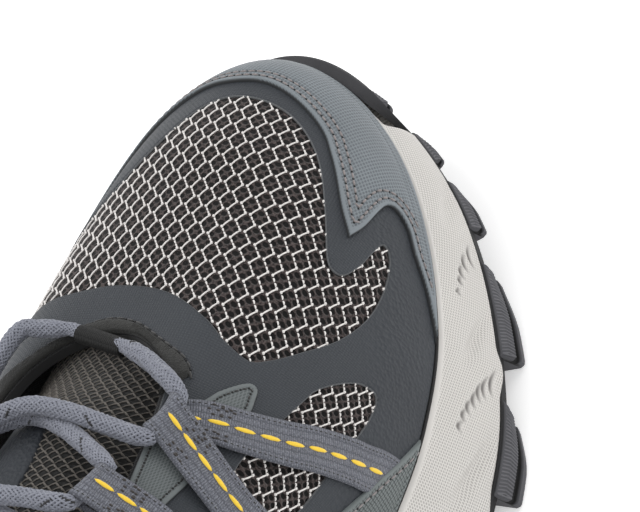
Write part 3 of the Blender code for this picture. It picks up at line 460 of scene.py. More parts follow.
stitchTree = makeTree("stitchRow", {"Pitch": "Float", "Size": "Vector", "Material": "Material"}, {
    "toCurve": ("GeometryNodeMeshToCurve", {}),
    "resample": ("GeometryNodeResampleCurve", {"mode": "LENGTH"}),
    "bead": ("GeometryNodeMeshUVSphere", {"Segments": 8, "Rings": 6, "Radius": 0.5}),
    "shape": ("GeometryNodeTransform", {}),
    "tangent": ("GeometryNodeInputTangent", {}),
    "face": ("GeometryNodeInputNamedAttribute", {"data_type": "FLOAT_VECTOR", "Name": "face"}),
    "alongRow": ("FunctionNodeAlignRotationToVector", {"axis": "X"}),
    "upright": ("FunctionNodeAlignRotationToVector", {"axis": "Z", "pivot_axis": "X"}),
    "place": ("GeometryNodeInstanceOnPoints", {}),
    "realize": ("GeometryNodeRealizeInstances", {}),
    "smooth": ("GeometryNodeSetShadeSmooth", {}),
    "paint": ("GeometryNodeSetMaterial", {}),
}, [
    "source.Geometry > toCurve.Mesh", "toCurve.Curve > resample.Curve", "source.Pitch > resample.Length",
    "bead.Mesh > shape.Geometry", "source.Size > shape.Scale", "tangent.Tangent > alongRow.Vector",
    "alongRow.Rotation > upright.Rotation", "face.Attribute > upright.Vector",
    "resample.Curve > place.Points", "shape.Geometry > place.Instance", "upright.Rotation > place.Rotation",
    "place.Instances > realize.Geometry", "realize.Geometry > smooth.Geometry",
    "smooth.Geometry > paint.Geometry",
    "source.Material > paint.Material", "paint.Geometry > out.Geometry",
])


# paths go into one wire mesh, the tree makes the solid, and its result becomes a plain mesh
def growNodes(name, paths, attributes, tree, values):
    points = np.concatenate(paths) - (lastForm["originX"], lastForm["originY"], 0.0)
    edges, start = [], 0
    for path in paths:
        edges += [(start + i, start + i + 1) for i in range(len(path) - 1)]
        start += len(path)
    wire = bpy.data.meshes.new(name + "Wire")
    wire.from_pydata((points * mm).tolist(), edges, [])
    for label, (kind, data) in attributes.items():
        field = wire.attributes.new(label, kind, "POINT")
        key = "vector" if kind == "FLOAT_VECTOR" else "value"
        field.data.foreach_set(key, np.concatenate(data).astype(np.float32).ravel())
    guide = bpy.data.objects.new(name + "Guide", wire)
    bpy.context.scene.collection.objects.link(guide)
    modifier = guide.modifiers.new("nodes", "NODES")
    modifier.node_group = tree
    for socket in tree.interface.items_tree:
        if socket.in_out == "INPUT" and socket.name in values:
            modifier[socket.identifier] = values[socket.name]
    graph = bpy.context.evaluated_depsgraph_get()
    mesh = bpy.data.meshes.new_from_object(guide.evaluated_get(graph))
    guide.modifiers.clear()
    bpy.data.objects.remove(guide)
    mesh.name = name
    piece = bpy.data.objects.new(name, mesh)
    bpy.context.scene.collection.objects.link(piece)
    return piece


def makeThreads(name, paths, thick, radius, sides, material):
    values = {"Radius": radius * mm, "Sides": sides, "Material": material}
    return growNodes(name, paths, {"thick": ("FLOAT", thick)}, threadTree, values)


def makeStitches(name, paths, normals, stitch, material):
    size = [side * mm for side in stitch["size"]]
    values = {"Pitch": stitch["pitch"] * mm, "Size": size, "Material": material}
    return growNodes(name, paths, {"face": ("FLOAT_VECTOR", normals)}, stitchTree, values)


# Materials
def tone(red, green, blue):
    srgb = np.array((red, green, blue)) / 255
    linear = np.where(srgb <= 0.04045, srgb / 12.92, ((srgb + 0.055) / 1.055) ** 2.4)
    return (*(float(x) for x in linear), 1.0)


class Nodes:
    # short ways to add nodes to a material or a group
    def __init__(self, tree):
        self.tree = tree

    # a plain value is set on the socket, anything else is linked to it
    def feed(self, socket, value):
        if isinstance(value, (int, float, tuple)):
            socket.default_value = value
        else:
            self.tree.links.new(value, socket)

    def add(self, kind, inputs):
        node = self.tree.nodes.new("ShaderNode" + kind)
        for label, value in inputs.items():
            self.feed(node.inputs[label], value)
        return node

    def math(self, operation, *values):
        node = self.add("Math", dict(enumerate(values)))
        node.operation = operation
        return node.outputs[0]

    def times(self, first, second):
        return self.math("MULTIPLY", first, second)

    def invert(self, value):
        return self.math("SUBTRACT", 1.0, value)

    # nothing up to low, one from high on
    def ramp(self, value, low, high):
        node = self.add("MapRange", {"Value": value, "From Min": low, "From Max": high})
        node.interpolation_type = "SMOOTHSTEP"
        return node.outputs["Result"]

    def split(self, vector):
        return self.add("SeparateXYZ", {"Vector": vector}).outputs


def newGroup(name, inputs, outputs):
    tree = bpy.data.node_groups.new(name, "ShaderNodeTree")
    for label, value in inputs.items():
        kind = "NodeSocketVector" if value is None else "NodeSocketFloat"
        socket = tree.interface.new_socket(label, in_out="INPUT", socket_type=kind)
        if value is not None:
            socket.default_value = value
    for label in outputs:
        tree.interface.new_socket(label, in_out="OUTPUT", socket_type="NodeSocketFloat")
    source, out = tree.nodes.new("NodeGroupInput"), tree.nodes.new("NodeGroupOutput")
    return Nodes(tree), source.outputs, out.inputs


# small dots in rows: one at each whole cell, or staggered
def makeDotGroup():
    nodes, source, out = newGroup("dotGrid", {"Vector": None, "Radius": 0.3, "Stagger": 0.0}, ["Dot"])
    place = nodes.split(source["Vector"])
    odd = nodes.math("ABSOLUTE", nodes.math("MODULO", nodes.math("FLOOR", place["Y"]), 2.0))
    along = nodes.math("ADD", place["X"], nodes.times(odd, source["Stagger"]))
    u, v = (nodes.math("SUBTRACT", nodes.math("FRACT", way), 0.5) for way in (along, place["Y"]))
    reach = nodes.math("SQRT", nodes.math("ADD", nodes.times(u, u), nodes.times(v, v)))
    share = nodes.math("DIVIDE", reach, source["Radius"])
    nodes.feed(out["Dot"], nodes.invert(nodes.ramp(share, 0.72, 1.08)))
    return nodes.tree


# over and under ribs of a plain weave
def makeWeaveGroup():
    nodes, source, out = newGroup("plainWeave", {"Vector": None}, ["Height"])
    place = nodes.split(source["Vector"])
    waves = [nodes.math("SINE", nodes.times(place[axis], math.pi)) for axis in "XY"]
    warp, weft = (nodes.math("ABSOLUTE", wave) for wave in waves)
    cell = nodes.math("ADD", *(nodes.math("FLOOR", place[axis]) for axis in "XY"))
    over = nodes.math("GREATER_THAN", nodes.math("ABSOLUTE", nodes.math("MODULO", cell, 2.0)), 0.5)
    tall = nodes.math("ADD", nodes.times(warp, over), nodes.times(weft, nodes.invert(over)))
    nodes.feed(out["Height"], nodes.times(tall, nodes.math("POWER", nodes.times(warp, weft), 0.35)))
    return nodes.tree


# uneven grain and soft soiling over any finish
def makeGrainGroup():
    inputs = {"Vector": None, "Scale": 1.0, "Patch": 0.05}
    nodes, source, out = newGroup("grain", inputs, ["Grain", "Mottle"])
    coarse = nodes.times(source["Scale"], source["Patch"])
    for label, scale, detail in (("Grain", source["Scale"], 3.0), ("Mottle", coarse, 2.0)):
        noise = nodes.add("TexNoise", {"Vector": source["Vector"], "Scale": scale, "Detail": detail})
        nodes.feed(out[label], noise.outputs["Fac"])
    return nodes.tree


dotGroup = makeDotGroup()
weaveGroup = makeWeaveGroup()
grainGroup = makeGrainGroup()


class Finish(Nodes):
    # a Principled material with a few short ways to add pattern
    def __init__(self, name, colour, roughness, sheen=0.0, specular=0.5):
        self.material = bpy.data.materials.new(name)
        self.material.use_nodes = True
        super().__init__(self.material.node_tree)
        self.shader = self.tree.nodes["Principled BSDF"]
        sockets = self.shader.inputs
        sockets["Base Color"].default_value = colour
        sockets["Roughness"].default_value = roughness
        sockets["Sheen Weight"].default_value = sheen
        sockets["Specular IOR Level"].default_value = specular

    def mapped(self, socket, scale, turn=0.0):
        values = {"Vector": socket, "Scale": scale, "Rotation": (0.0, 0.0, turn)}
        return self.add("Mapping", values).outputs["Vector"]

    def uv(self, layer, scale=(1.0, 1.0, 1.0), turn=0.0):
        source = self.tree.nodes.new("ShaderNodeUVMap")
        source.uv_map = layer
        return self.mapped(source.outputs["UV"], scale, turn)

    # Object coordinates in millimetres
    def local(self):
        return self.mapped(self.add("TexCoord", {}).outputs["Object"], (1 / mm,) * 3)

    # nothing at a panel's cut edge, one further in than the given millimetres
    def fromCut(self, low, high):
        return self.ramp(self.split(self.uv("edge", (10.0, 1.0, 1.0)))["X"], low, high)

    def group(self, group, **inputs):
        node = self.tree.nodes.new("ShaderNodeGroup")
        node.node_tree = group
        for label, value in inputs.items():
            self.feed(node.inputs[label], value)
        return node.outputs

    def grain(self, scale, patch=0.05):
        return self.group(grainGroup, Vector=self.local(), Scale=scale, Patch=patch)

    def mix(self, share, first, second):
        node = self.tree.nodes.new("ShaderNodeMix")
        node.data_type = "RGBA"
        colours = [socket for socket in node.inputs if socket.type == "RGBA"]
        for socket, value in zip((node.inputs["Factor"], *colours), (share, first, second)):
            self.feed(socket, value)
        return [socket for socket in node.outputs if socket.type == "RGBA"][0]

    def colour(self, socket):
        self.feed(self.shader.inputs["Base Color"], socket)

    def rough(self, socket, low, high):
        node = self.add("MapRange", {"Value": socket, "To Min": low, "To Max": high})
        self.feed(self.shader.inputs["Roughness"], node.outputs["Result"])

    # layers of bump as height, strength and millimetres
    def bump(self, *layers):
        below = {}
        for height, strength, distance in layers:
            values = {"Height": height, "Strength": strength, "Distance": distance * mm}
            below = {"Normal": self.add("Bump", {**values, **below}).outputs["Normal"]}
        self.feed(self.shader.inputs["Normal"], below["Normal"])


# cloth below the white yarn: four dark holes in each cell of the mesh
def makeMeshGround():
    finish = Finish("meshGround", tone(70, 62, 60), 0.9, sheen=0.1, specular=0.2)
    holes = finish.group(dotGroup, Vector=finish.uv("cloth", (2.0, 2.0, 1.0)), Radius=0.43)["Dot"]
    grain = finish.grain(2.4)["Grain"]
    yarn = finish.mix(finish.ramp(grain, 0.3, 0.7), tone(34, 29, 29), tone(86, 77, 75))
    finish.colour(finish.mix(holes, yarn, tone(4, 3, 3)))
    finish.bump((finish.invert(holes), 0.8, 0.5), (grain, 0.4, 0.2))
    return finish.material


def makePlainCloth(name, dark, light, pitch=0.8):
    finish = Finish(name, light, 0.9, sheen=0.15)
    place = finish.uv("wall", (100.0 / pitch, 100.0 / pitch, 1.0))
    weave = finish.group(weaveGroup, Vector=place)["Height"]
    finish.colour(finish.mix(weave, dark, light))
    finish.bump((weave, 0.5, 0.25), (finish.grain(1.2)["Mottle"], 0.2, 0.3))
    return finish.material


def makeThread(name, dark, light, sheen=0.3):
    finish = Finish(name, light, 0.7, sheen=sheen)
    grain = finish.grain(3.0)["Grain"]
    finish.colour(finish.mix(grain, dark, light))
    finish.bump((grain, 0.3, 0.15))
    return finish.material


# bonded film: fine crossed lines by the throat, leather grain down the sides
def makeFilm():
    finish = Finish("filmSatin", tone(50, 54, 59), 0.58, specular=0.3)
    lines = finish.group(weaveGroup, Vector=finish.uv("cloth", (5.0, 6.0, 1.0), 0.72))["Height"]
    high = finish.ramp(finish.split(finish.uv("wall"))["Y"], 0.30, 0.46)
    cells = finish.add("TexVoronoi", {"Scale": 0.95, "Vector": finish.local()}).outputs["Distance"]
    grain = finish.grain(1.1, 0.04)
    leather = finish.math("ADD", cells, finish.times(grain["Grain"], 0.6))
    leather = finish.times(leather, finish.invert(high))
    cross = finish.times(lines, high)
    body = finish.mix(grain["Mottle"], tone(42, 45, 50), tone(56, 60, 65))
    body = finish.mix(finish.times(cross, 0.3), body, tone(72, 76, 81))
    # painted highlight: a lighter line along the cut edge
    finish.colour(finish.mix(finish.fromCut(0.1, 0.3), tone(92, 94, 96), body))
    finish.rough(grain["Mottle"], 0.50, 0.66)
    finish.bump((cross, 0.7, 0.16), (leather, 0.8, 0.35))
    return finish.material


# embossed synthetic leather with a fine square grid
def makeEmbossed(name, deep, dark, light, pitch):
    finish = Finish(name, light, 0.55, specular=0.4)
    place = finish.uv("wall", (100.0 / pitch, wallSpan / pitch, 1.0))
    grid = finish.group(dotGroup, Vector=place, Radius=0.4)["Dot"]
    grain = finish.grain(1.5, 0.03)
    base = finish.mix(grain["Mottle"], dark, light)
    grid = finish.times(grid, finish.fromCut(0.9, 1.3))
    base = finish.mix(finish.times(grid, 0.75), base, deep)
    # painted shade: a dark line along the cut edge
    finish.colour(finish.mix(finish.fromCut(0.04, 0.32), tone(38, 40, 42), base))
    finish.rough(grain["Mottle"], 0.46, 0.66)
    finish.bump((grid, 0.6, 0.2), (grain["Grain"], 0.25, 0.12))
    return finish.material


# coated cloth with dark gaps between its yarns
def makeWoven():
    finish = Finish("wovenQuarter", tone(105, 112, 112), 0.75, sheen=0.1)
    place = finish.uv("wall", (100.0 / 1.0, wallSpan / 0.8, 1.0), 0.5)
    weave = finish.group(weaveGroup, Vector=place)["Height"]
    grain = finish.grain(2.0, 0.03)
    body = finish.mix(grain["Mottle"], tone(90, 97, 97), tone(116, 123, 123))
    gap = finish.times(finish.invert(finish.ramp(weave, 0.1, 0.6)), finish.fromCut(0.5, 0.8))
    finish.colour(finish.mix(gap, body, tone(58, 64, 64)))
    finish.bump((finish.invert(gap), 0.7, 0.4), (grain["Grain"], 0.25, 0.12))
    return finish.material


def makeWebbing(name, dark, light, across, pitch, sheen=0.1):
    finish = Finish(name, light, 0.8, sheen=sheen)
    ribs = finish.group(weaveGroup, Vector=finish.uv("strip", (1 / across, 1 / pitch, 1.0)))["Height"]
    grain = finish.grain(2.8, 0.3)["Grain"]
    body = finish.mix(finish.ramp(grain, 0.25, 0.75), dark, light)
    finish.colour(finish.mix(finish.ramp(ribs, 0.05, 0.5), dark, body))
    finish.bump((ribs, 0.8, 0.3), (grain, 0.3, 0.1))
    return finish.material


# moulded foam: fine slanting dashes, with painted shade in a dark line below each gill
def makeFoam():
    finish = Finish("midsoleFoam", tone(208, 205, 201), 0.62, specular=0.35)
    slanted = finish.mapped(finish.uv("strip", turn=-0.65), (1 / 0.85, 1 / 0.6, 1.0))
    dots = finish.group(dotGroup, Vector=slanted, Radius=0.4, Stagger=0.5)["Dot"]
    grain = finish.grain(0.9, 0.04)
    shade = finish.split(finish.uv("shade"))
    dots = finish.times(dots, finish.invert(shade["Y"]))
    body = finish.mix(grain["Mottle"], tone(201, 198, 194), tone(216, 213, 209))
    body = finish.mix(dots, body, tone(168, 165, 161))
    # painted shade: the shade layer's first value darkens the foam below each gill
    finish.colour(finish.mix(shade["X"], body, tone(104, 101, 99)))
    finish.bump((finish.invert(dots), 0.4, 0.15), (grain["Grain"], 0.12, 0.2))
    return finish.material


# rubber, with painted shade near black where the piece's own shade layer says so
def makeRubber(name, dark, light, shaded=False):
    finish = Finish(name, dark, 0.6, specular=0.35)
    grain = finish.grain(2.2)
    body = finish.mix(grain["Mottle"], dark, light)
    if shaded:
        body = finish.mix(finish.ramp(finish.split(finish.uv("shade"))["X"], 0.1, 0.7), body, tone(7, 7, 8))
    finish.colour(body)
    finish.rough(grain["Grain"], 0.5, 0.75)
    finish.bump((grain["Grain"], 0.35, 0.18))
    return finish.material


def makeFelt():
    finish = Finish("bindingFelt", tone(34, 34, 33), 0.95, sheen=0.12)
    grain = finish.grain(2.6, 0.1)["Grain"]
    finish.colour(finish.mix(grain, tone(20, 20, 19), tone(46, 46, 44)))
    finish.bump((grain, 0.7, 0.4))
    return finish.material


# dark and light tone of the yarns and threads, and their sheen
threadTones = {
    "whiteYarn": ((205, 200, 197), (244, 241, 238), 0.3),
    "yellowThread": ((222, 178, 30), (250, 216, 66), 0.3),
    "greyThread": ((96, 90, 90), (150, 142, 141), 0.3),
    # near black painted shade, for the needle holes and the gap under the panels
    "holeBlack": ((5, 5, 5), (14, 13, 13), 0.0),
    "darkThread": ((16, 16, 16), (38, 37, 36), 0.3),
    "tackThread": ((20, 17, 17), (48, 41, 40), 0.3),
    "laceYarn": ((84, 87, 97), (156, 159, 171), 0.15),
    "tracerYarn": ((14, 14, 16), (34, 34, 38), 0.3),
    "laceCore": ((28, 29, 34), (52, 53, 60), 0.0),
    "tongueYarn": ((58, 55, 51), (128, 122, 115), 0.05),
}
# dark and light tone of the rubbers, and whether they read a shade
rubberTones = {
    "outsoleRubber": ((40, 40, 43), (62, 62, 65), True),
    "treadRubber": ((50, 50, 53), (72, 72, 75), False),
    "lugRubber": ((66, 66, 70), (86, 86, 90), True),
    # the ribs' rubber is a lighter, lit copy of the lug rubber: painted light on the ribs
    "ribRubber": ((84, 84, 88), (108, 108, 112), False),
}
finishes = {
    "meshGround": makeMeshGround(),
    "lining": makePlainCloth("collarLining", tone(24, 24, 25), tone(46, 46, 48)),
    "footBed": makePlainCloth("footBed", tone(40, 41, 43), tone(66, 67, 70)),
    "tongueBase": makePlainCloth("tongueBase", tone(5, 5, 5), tone(15, 15, 14), 1.2),
    "film": makeFilm(),
    "cap": makeEmbossed("capEmbossed", tone(78, 84, 89), tone(104, 111, 116), tone(126, 133, 138), 1.0),
    "eyestay": makeEmbossed(
        "eyestayEmbossed", tone(66, 72, 73), tone(88, 94, 95), tone(108, 113, 114), 0.9,
    ),
    "woven": makeWoven(),
    "webbing": makeWebbing("webbingGrey", tone(74, 76, 84), tone(124, 127, 137), 1.7, 0.55),
    "keeper": makeWebbing("keeperDark", tone(6, 6, 6), tone(27, 27, 26), 0.55, 1.4, 0.0),
    "felt": makeFelt(),
    "foam": makeFoam(),
}
for makeFinish, table in ((makeThread, threadTones), (makeRubber, rubberTones)):
    for finishName, (darkTone, lightTone, extra) in table.items():
        finishes[finishName] = makeFinish(finishName, tone(*darkTone), tone(*lightTone), extra)
print("finishes ready:", len(finishes))


# Cloth of the forefoot laid flat: the wall is unrolled from the throat and relaxed to its own lengths
clothForm = {
    "stationSpan": (4.3, 15.7),
    "upSpan": (0.20, 1.0),
    "mirrorFrom": 13.3,    # the inner side window repeats the outer one
    "columns": 92,
    "rows": 26,
    "rounds": 260,
    "rowStep": 3.45,       # white yarn lattice, millimetres
    "columnStep": 4.35,
    "rowTurn": -42.0,      # degrees from the toe direction to the outer side
    "columnTurn": -134.0,
    "origin": (235.0, -8.0),
    "tightFrom": 10.0,     # columns past this one are drawn closer together
    "tighten": 1.55,
    "tightSharp": 2,
}


def flattenCloth():
    station = np.linspace(*clothForm["stationSpan"], clothForm["columns"])
    up = np.linspace(*clothForm["upSpan"], clothForm["rows"])
    grid = wallPoint(station[:, None], up[None, :])
    steps = np.linalg.norm(np.diff(grid[:, ::-1], axis=1), axis=2)
    run = np.concatenate((np.zeros((len(station), 1)), np.cumsum(steps, axis=1)), axis=1)[:, ::-1]
    edge, low = grid[:, -1, :2], grid[:, 0, :2]
    flat = edge[:, None] + unit(low - edge)[:, None] * run[..., None]
    pairs = []
    for du, dv in ((1, 0), (0, 1), (1, 1), (1, -1)):
        a = (slice(0, -du or None), slice(1, None) if dv < 0 else slice(0, -dv or None))
        b = (slice(du, None), slice(0, -1) if dv < 0 else slice(dv, None))
        pairs.append((a, b, np.linalg.norm(grid[a] - grid[b], axis=-1)))
    for _ in range(clothForm["rounds"]):
        moved, weight = np.zeros_like(flat), np.zeros(flat.shape[:2])
        for a, b, rest in pairs:
            gap = flat[b] - flat[a]
            length = np.linalg.norm(gap, axis=-1)
            pull = gap * ((length - rest) / length / 2)[..., None]
            moved[a] += pull
            moved[b] -= pull
            weight[a] += 1
            weight[b] += 1
        flat += moved / weight[..., None]
    return station, up, flat


clothStation, clothUp, clothFlat = flattenCloth()


# one step along the rows or columns of the lattice
def clothAxis(turn, step):
    angle = math.radians(clothForm[turn])
    return [math.cos(angle) * clothForm[step], math.sin(angle) * clothForm[step]]


clothAxes = np.array([clothAxis("rowTurn", "rowStep"), clothAxis("columnTurn", "columnStep")])


# the lattice gets finer from the forefoot to the side window
def tightenCloth(flat):
    lattice = (flat - clothForm["origin"]) @ np.linalg.inv(clothAxes)
    sharp = clothForm["tightSharp"]
    past = np.log1p(np.exp(sharp * (lattice[..., 1] - clothForm["tightFrom"]))) / sharp
    lattice[..., 1] += (clothForm["tighten"] - 1) * past
    return lattice @ clothAxes + clothForm["origin"]


clothFlat = tightenCloth(clothFlat)


# lattice coordinates of the cloth at a place on the wall
def clothCoords(station, up):
    folded = np.mod(station, stations)
    folded = np.where(folded > clothForm["mirrorFrom"], stations - folded, folded)
    s = np.clip(np.interp(folded, clothStation, np.arange(len(clothStation))), 0, len(clothStation) - 1.001)
    v = np.clip(np.interp(up, clothUp, np.arange(len(clothUp))), 0, len(clothUp) - 1.001)
    i, j = s.astype(int), v.astype(int)
    a, b = (s - i)[:, None], (v - j)[:, None]
    low = clothFlat[i, j] * (1 - a) + clothFlat[i + 1, j] * a
    high = clothFlat[i, j + 1] * (1 - a) + clothFlat[i + 1, j + 1] * a
    flat = low * (1 - b) + high * b
    return (flat - clothForm["origin"]) @ np.linalg.inv(clothAxes)


def wallCoords(station, up):
    return np.column_stack((around(station) / 100, up))


print("cloth laid flat:", clothFlat.shape)


# Flat drawing of the wall: distance round the foot, and share of the way up in millimetres
panelForm = {
    "edgeStep": 1.1,
    "sideSteps": 24,
    "lift": 0.85,                # above the midsole's rim
    "filmLift": 0.4,
    "probe": 0.15,               # step for finding directions
    "insetKeep": 0.93,           # how much of its inset a row keeps from other edges
    "gridKeep": 0.4,
    "edgeFall": (0.45, 0.55),    # share of the thickness at the cut edge, and what is left
    # outlines as station and share up, with a third value at a corner
    "toeCap": [
        (6.72, 0.0, 1), (7.03, 0.142), (7.34, 0.193), (7.54, 0.205), (7.68, 0.237), (7.72, 0.274),
        (7.69, 0.316), (7.60, 0.39), (7.57, 0.446, 1), (7.87, 0.441), (8.36, 0.40), (8.66, 0.374),
        (9.08, 0.360), (9.62, 0.355), (10.0, 0.365),
    ],
    "meshWindow": [
        (10.1, 0.902), (9.34, 0.903), (8.37, 0.89), (7.74, 0.87), (7.26, 0.83), (6.90, 0.755),
        (6.79, 0.685), (6.76, 0.60), (6.77, 0.49), (6.89, 0.40), (7.10, 0.338), (7.33, 0.303),
        (7.44, 0.318), (7.40, 0.365), (7.32, 0.42), (7.30, 0.485), (7.48, 0.521), (7.89, 0.489),
        (8.52, 0.429), (9.07, 0.406), (9.64, 0.417), (10.04, 0.436), (10.34, 0.475), (10.7, 0.54),
        (11.3, 0.59), (12.0, 0.57), (12.6, 0.54), (12.9, 0.59), (12.85, 0.68), (12.4, 0.77), (11.7, 0.845),
        (11.0, 0.883),
    ],
    "sideWindow": [
        (6.40, 0.52), (6.40, 0.44), (6.36, 0.38), (6.26, 0.330), (6.12, 0.336), (5.97, 0.365),
        (5.75, 0.42), (5.56, 0.46), (5.42, 0.51), (5.40, 0.57), (5.52, 0.63), (5.76, 0.685), (5.98, 0.685),
        (6.18, 0.62), (6.34, 0.555),
    ],
    "filmRear": [(5.05, 0.36, 1), (4.75, 0.52, 1), (4.72, 0.70, 1), (4.85, 0.945, 1)],
    "filmTop": 0.985,
    "eyestay": [
        (6.76, 0.985, 1), (6.66, 0.863), (6.68, 0.813), (6.66, 0.753), (6.62, 0.721), (6.54, 0.699),
        (6.45, 0.699), (6.36, 0.703), (6.25, 0.735), (6.17, 0.79), (5.93, 0.805, 1), (5.76, 0.854),
        (5.55, 0.86), (5.20, 0.80), (4.96, 0.82), (4.92, 0.985, 1),
    ],
    "quarter": [
        (5.98, 0.0, 1), (5.82, 0.19), (5.70, 0.247), (5.58, 0.297), (5.43, 0.356), (5.18, 0.43),
        (4.90, 0.49), (4.50, 0.55), (4.00, 0.59), (3.00, 0.62), (2.00, 0.65), (1.00, 0.67), (0.0, 0.68),
    ],
    "binding": [
        (7.04, 0.915, 1), (7.13, 0.92), (7.39, 0.943), (7.8, 0.968), (8.5, 0.980), (9.2, 0.978),
        (10.0, 0.973), (10.8, 0.978), (11.5, 0.980), (12.2, 0.968), (12.61, 0.943), (12.87, 0.92),
        (12.96, 0.915, 1),
    ],
}


def mirrored(rows):
    return [(stations - station, *rest) for station, *rest in reversed(rows)]


def flatPoints(rows):
    station, up = np.array([row[:2] for row in rows], float).T
    up = np.maximum(up, rimUp(station, panelForm["lift"]))
    return np.column_stack((around(station), up * wallSpan))


def flatOutline(rows, closed):
    corners = [len(row) > 2 for row in rows]
    return throughPoints(flatPoints(rows), corners, panelForm["edgeStep"], closed)


def stationRun(start, end):
    count = max(2, round(abs(around(end) - around(start)) / panelForm["edgeStep"]))
    return np.linspace(start, end, count + 1)


def alongRim(start, end, lift=panelForm["lift"]):
    station = stationRun(start, end)
    return np.column_stack((around(station), rimUp(station, lift) * wallSpan))


def alongLevel(start, end, up):
    station = stationRun(start, end)
    return np.column_stack((around(station), np.full_like(station, up * wallSpan)))


def straightRun(rows):
    points = flatPoints(rows)
    steps = panelForm["sideSteps"]
    sides = [np.linspace(a, b, steps, endpoint=False) for a, b in zip(points[:-1], points[1:])]
    return np.concatenate(sides + [points[-1:]])


# the open forefoot, and the small window of the outer side
def windowOutlines():
    return [flatOutline(panelForm[key], True) for key in ("meshWindow", "sideWindow")]


def inside(outline, points):
    x, y = points[:, 0], points[:, 1]
    result = np.zeros(len(points), bool)
    for (ax, ay), (bx, by) in zip(outline, np.roll(outline, -1, axis=0)):
        crosses = (ay > y) != (by > y)
        rise = by - ay if by != ay else 1.0
        result ^= crosses & (x < ax + (y - ay) * (bx - ax) / rise)
    return result


# inside the first outline and outside the others
def insideAll(loops, points):
    keep = inside(loops[0], points)
    for window in loops[1:]:
        keep &= ~inside(window, points)
    return keep


def placeOf(flat):
    return stationOf(flat[:, 0]), np.clip(flat[:, 1] / wallSpan, 0, 1)


def wallOfFlat(flat):
    return wallPoint(*placeOf(flat))


# distance in space from each point to the nearest side of some polylines
def edgeDistance(points, loops):
    best = np.full(len(points), np.inf)
    batch = 2000
    for loop in loops:
        runs = np.roll(loop, -1, axis=0) - loop
        long = np.maximum((runs ** 2).sum(axis=1), 1e-12)
        for first in range(0, len(points), batch):
            part = slice(first, first + batch)
            gap = points[part, None] - loop[None]
            share = np.clip((gap * runs[None]).sum(axis=2) / long[None], 0, 1)
            near = np.linalg.norm(gap - share[..., None] * runs[None], axis=2).min(axis=1)
            best[part] = np.minimum(best[part], near)
    return best


# a row drawn so many millimetres to the left of a flat line, measured on the wall itself
def insetRow(line, distance, closed):
    if closed:
        run = np.roll(line, -1, axis=0) - np.roll(line, 1, axis=0)
    else:
        run = np.gradient(line, axis=0)
    reach = panelForm["probe"]
    along = (wallOfFlat(line + (reach, 0)) - wallOfFlat(line - (reach, 0))) / (2 * reach)
    low = np.maximum(line[:, 1] - reach, 0)
    high = np.minimum(line[:, 1] + reach, wallSpan)
    column = line[:, 0]
    rising = wallOfFlat(np.column_stack((column, high))) - wallOfFlat(np.column_stack((column, low)))
    rising /= (high - low)[:, None]
    run3 = along * run[:, :1] + rising * run[:, 1:]
    across = unit(np.cross(np.cross(along, rising), run3))
    aa, ab, bb = (along ** 2).sum(1), (along * rising).sum(1), (rising ** 2).sum(1)
    ra, rb = (along * across).sum(1), (rising * across).sum(1)
    det = aa * bb - ab ** 2
    move = np.column_stack(((bb * ra - ab * rb) / det, (aa * rb - ab * ra) / det))
    return line + move * distance


def signedArea(loop):
    x, y = loop.T
    return 0.5 * np.sum(x * np.roll(y, -1) - np.roll(x, -1) * y)


def leftTurning(loop):
    return loop if signedArea(loop) > 0 else loop[::-1]


# parts of a row that keep their distance from an outline, split where it jumps
def clearRuns(row, outline, distance, jump):
    row = row[edgeDistance(wallOfFlat(row), [wallOfFlat(outline)]) > distance]
    cuts = np.flatnonzero(np.linalg.norm(np.diff(row, axis=0), axis=1) > jump) + 1
    return [part for part in np.split(row, cuts) if len(part) > 3]


# a sheet between base and a top that falls off at its edges, cut to an outline and its windows
def makePanel(name, outline, windows, shape, material):
    loops = [leftTurning(outline)] + [leftTurning(window)[::-1] for window in windows]
    spaced = [wallOfFlat(loop) for loop in loops]
    step, extra = shape["step"], []

    def addPoints(row, clear):
        row = row[insideAll(loops, row)]
        extra.append(row[edgeDistance(wallOfFlat(row), spaced) > clear])

    for inset in shape["insets"]:
        for loop in loops:
            row = insetRow(loop, inset, True)
            addPoints(row[(row[:, 1] > 0) & (row[:, 1] < wallSpan)], inset * panelForm["insetKeep"])
    spans = zip(outline.min(axis=0), outline.max(axis=0))
    columns, rows = (np.arange(low, high, step) for low, high in spans)
    grid = np.stack(np.meshgrid(columns, rows), axis=-1).reshape(-1, 2)
    grid[:, 0] += np.tile([0, step / 2], len(rows))[:len(rows)].repeat(len(columns))
    addPoints(grid, max(shape["insets"]) + step * panelForm["gridKeep"])
    points, edges = [], []
    for loop in loops:
        start = len(points)
        points += loop.tolist()
        edges += [(start + i, start + (i + 1) % len(loop)) for i in range(len(loop))]
    points += np.concatenate(extra).tolist()
    flat, _, triangles, _, _, _ = delaunay_2d_cdt(points, edges, [], 0, 1e-7)
    flat = np.array([tuple(point) for point in flat])
    triangles = np.array([tuple(triangle) for triangle in triangles])
    triangles = triangles[insideAll(loops, flat[triangles].mean(axis=1))]
    used, triangles = np.unique(triangles, return_inverse=True)
    flat, triangles = flat[used], triangles.reshape(-1, 3)
    station, up = placeOf(flat)
    fromEdge = edgeDistance(wallOfFlat(flat), spaced)
    count = len(flat)
    outs = (shape["base"], shape["base"] + shape["profile"](fromEdge))
    solid = np.concatenate([skin(station, up, out) for out in outs])
    faces = [tuple(t[::-1]) for t in triangles.tolist()] + [tuple(t) for t in (triangles + count).tolist()]
    directed = {(t[i], t[(i + 1) % 3]) for t in triangles.tolist() for i in range(3)}
    faces += [(a, b, b + count, a + count) for a, b in sorted(directed) if (b, a) not in directed]
    fromCut = np.column_stack((fromEdge / 10, np.zeros(count)))
    uvs = {"wall": wallCoords(station, up), "cloth": clothCoords(station, up), "edge": fromCut}
    uvs = {key: np.tile(coords, (2, 1)) for key, coords in uvs.items()}
    return addMesh(name, solid, faces, [material], uvs)


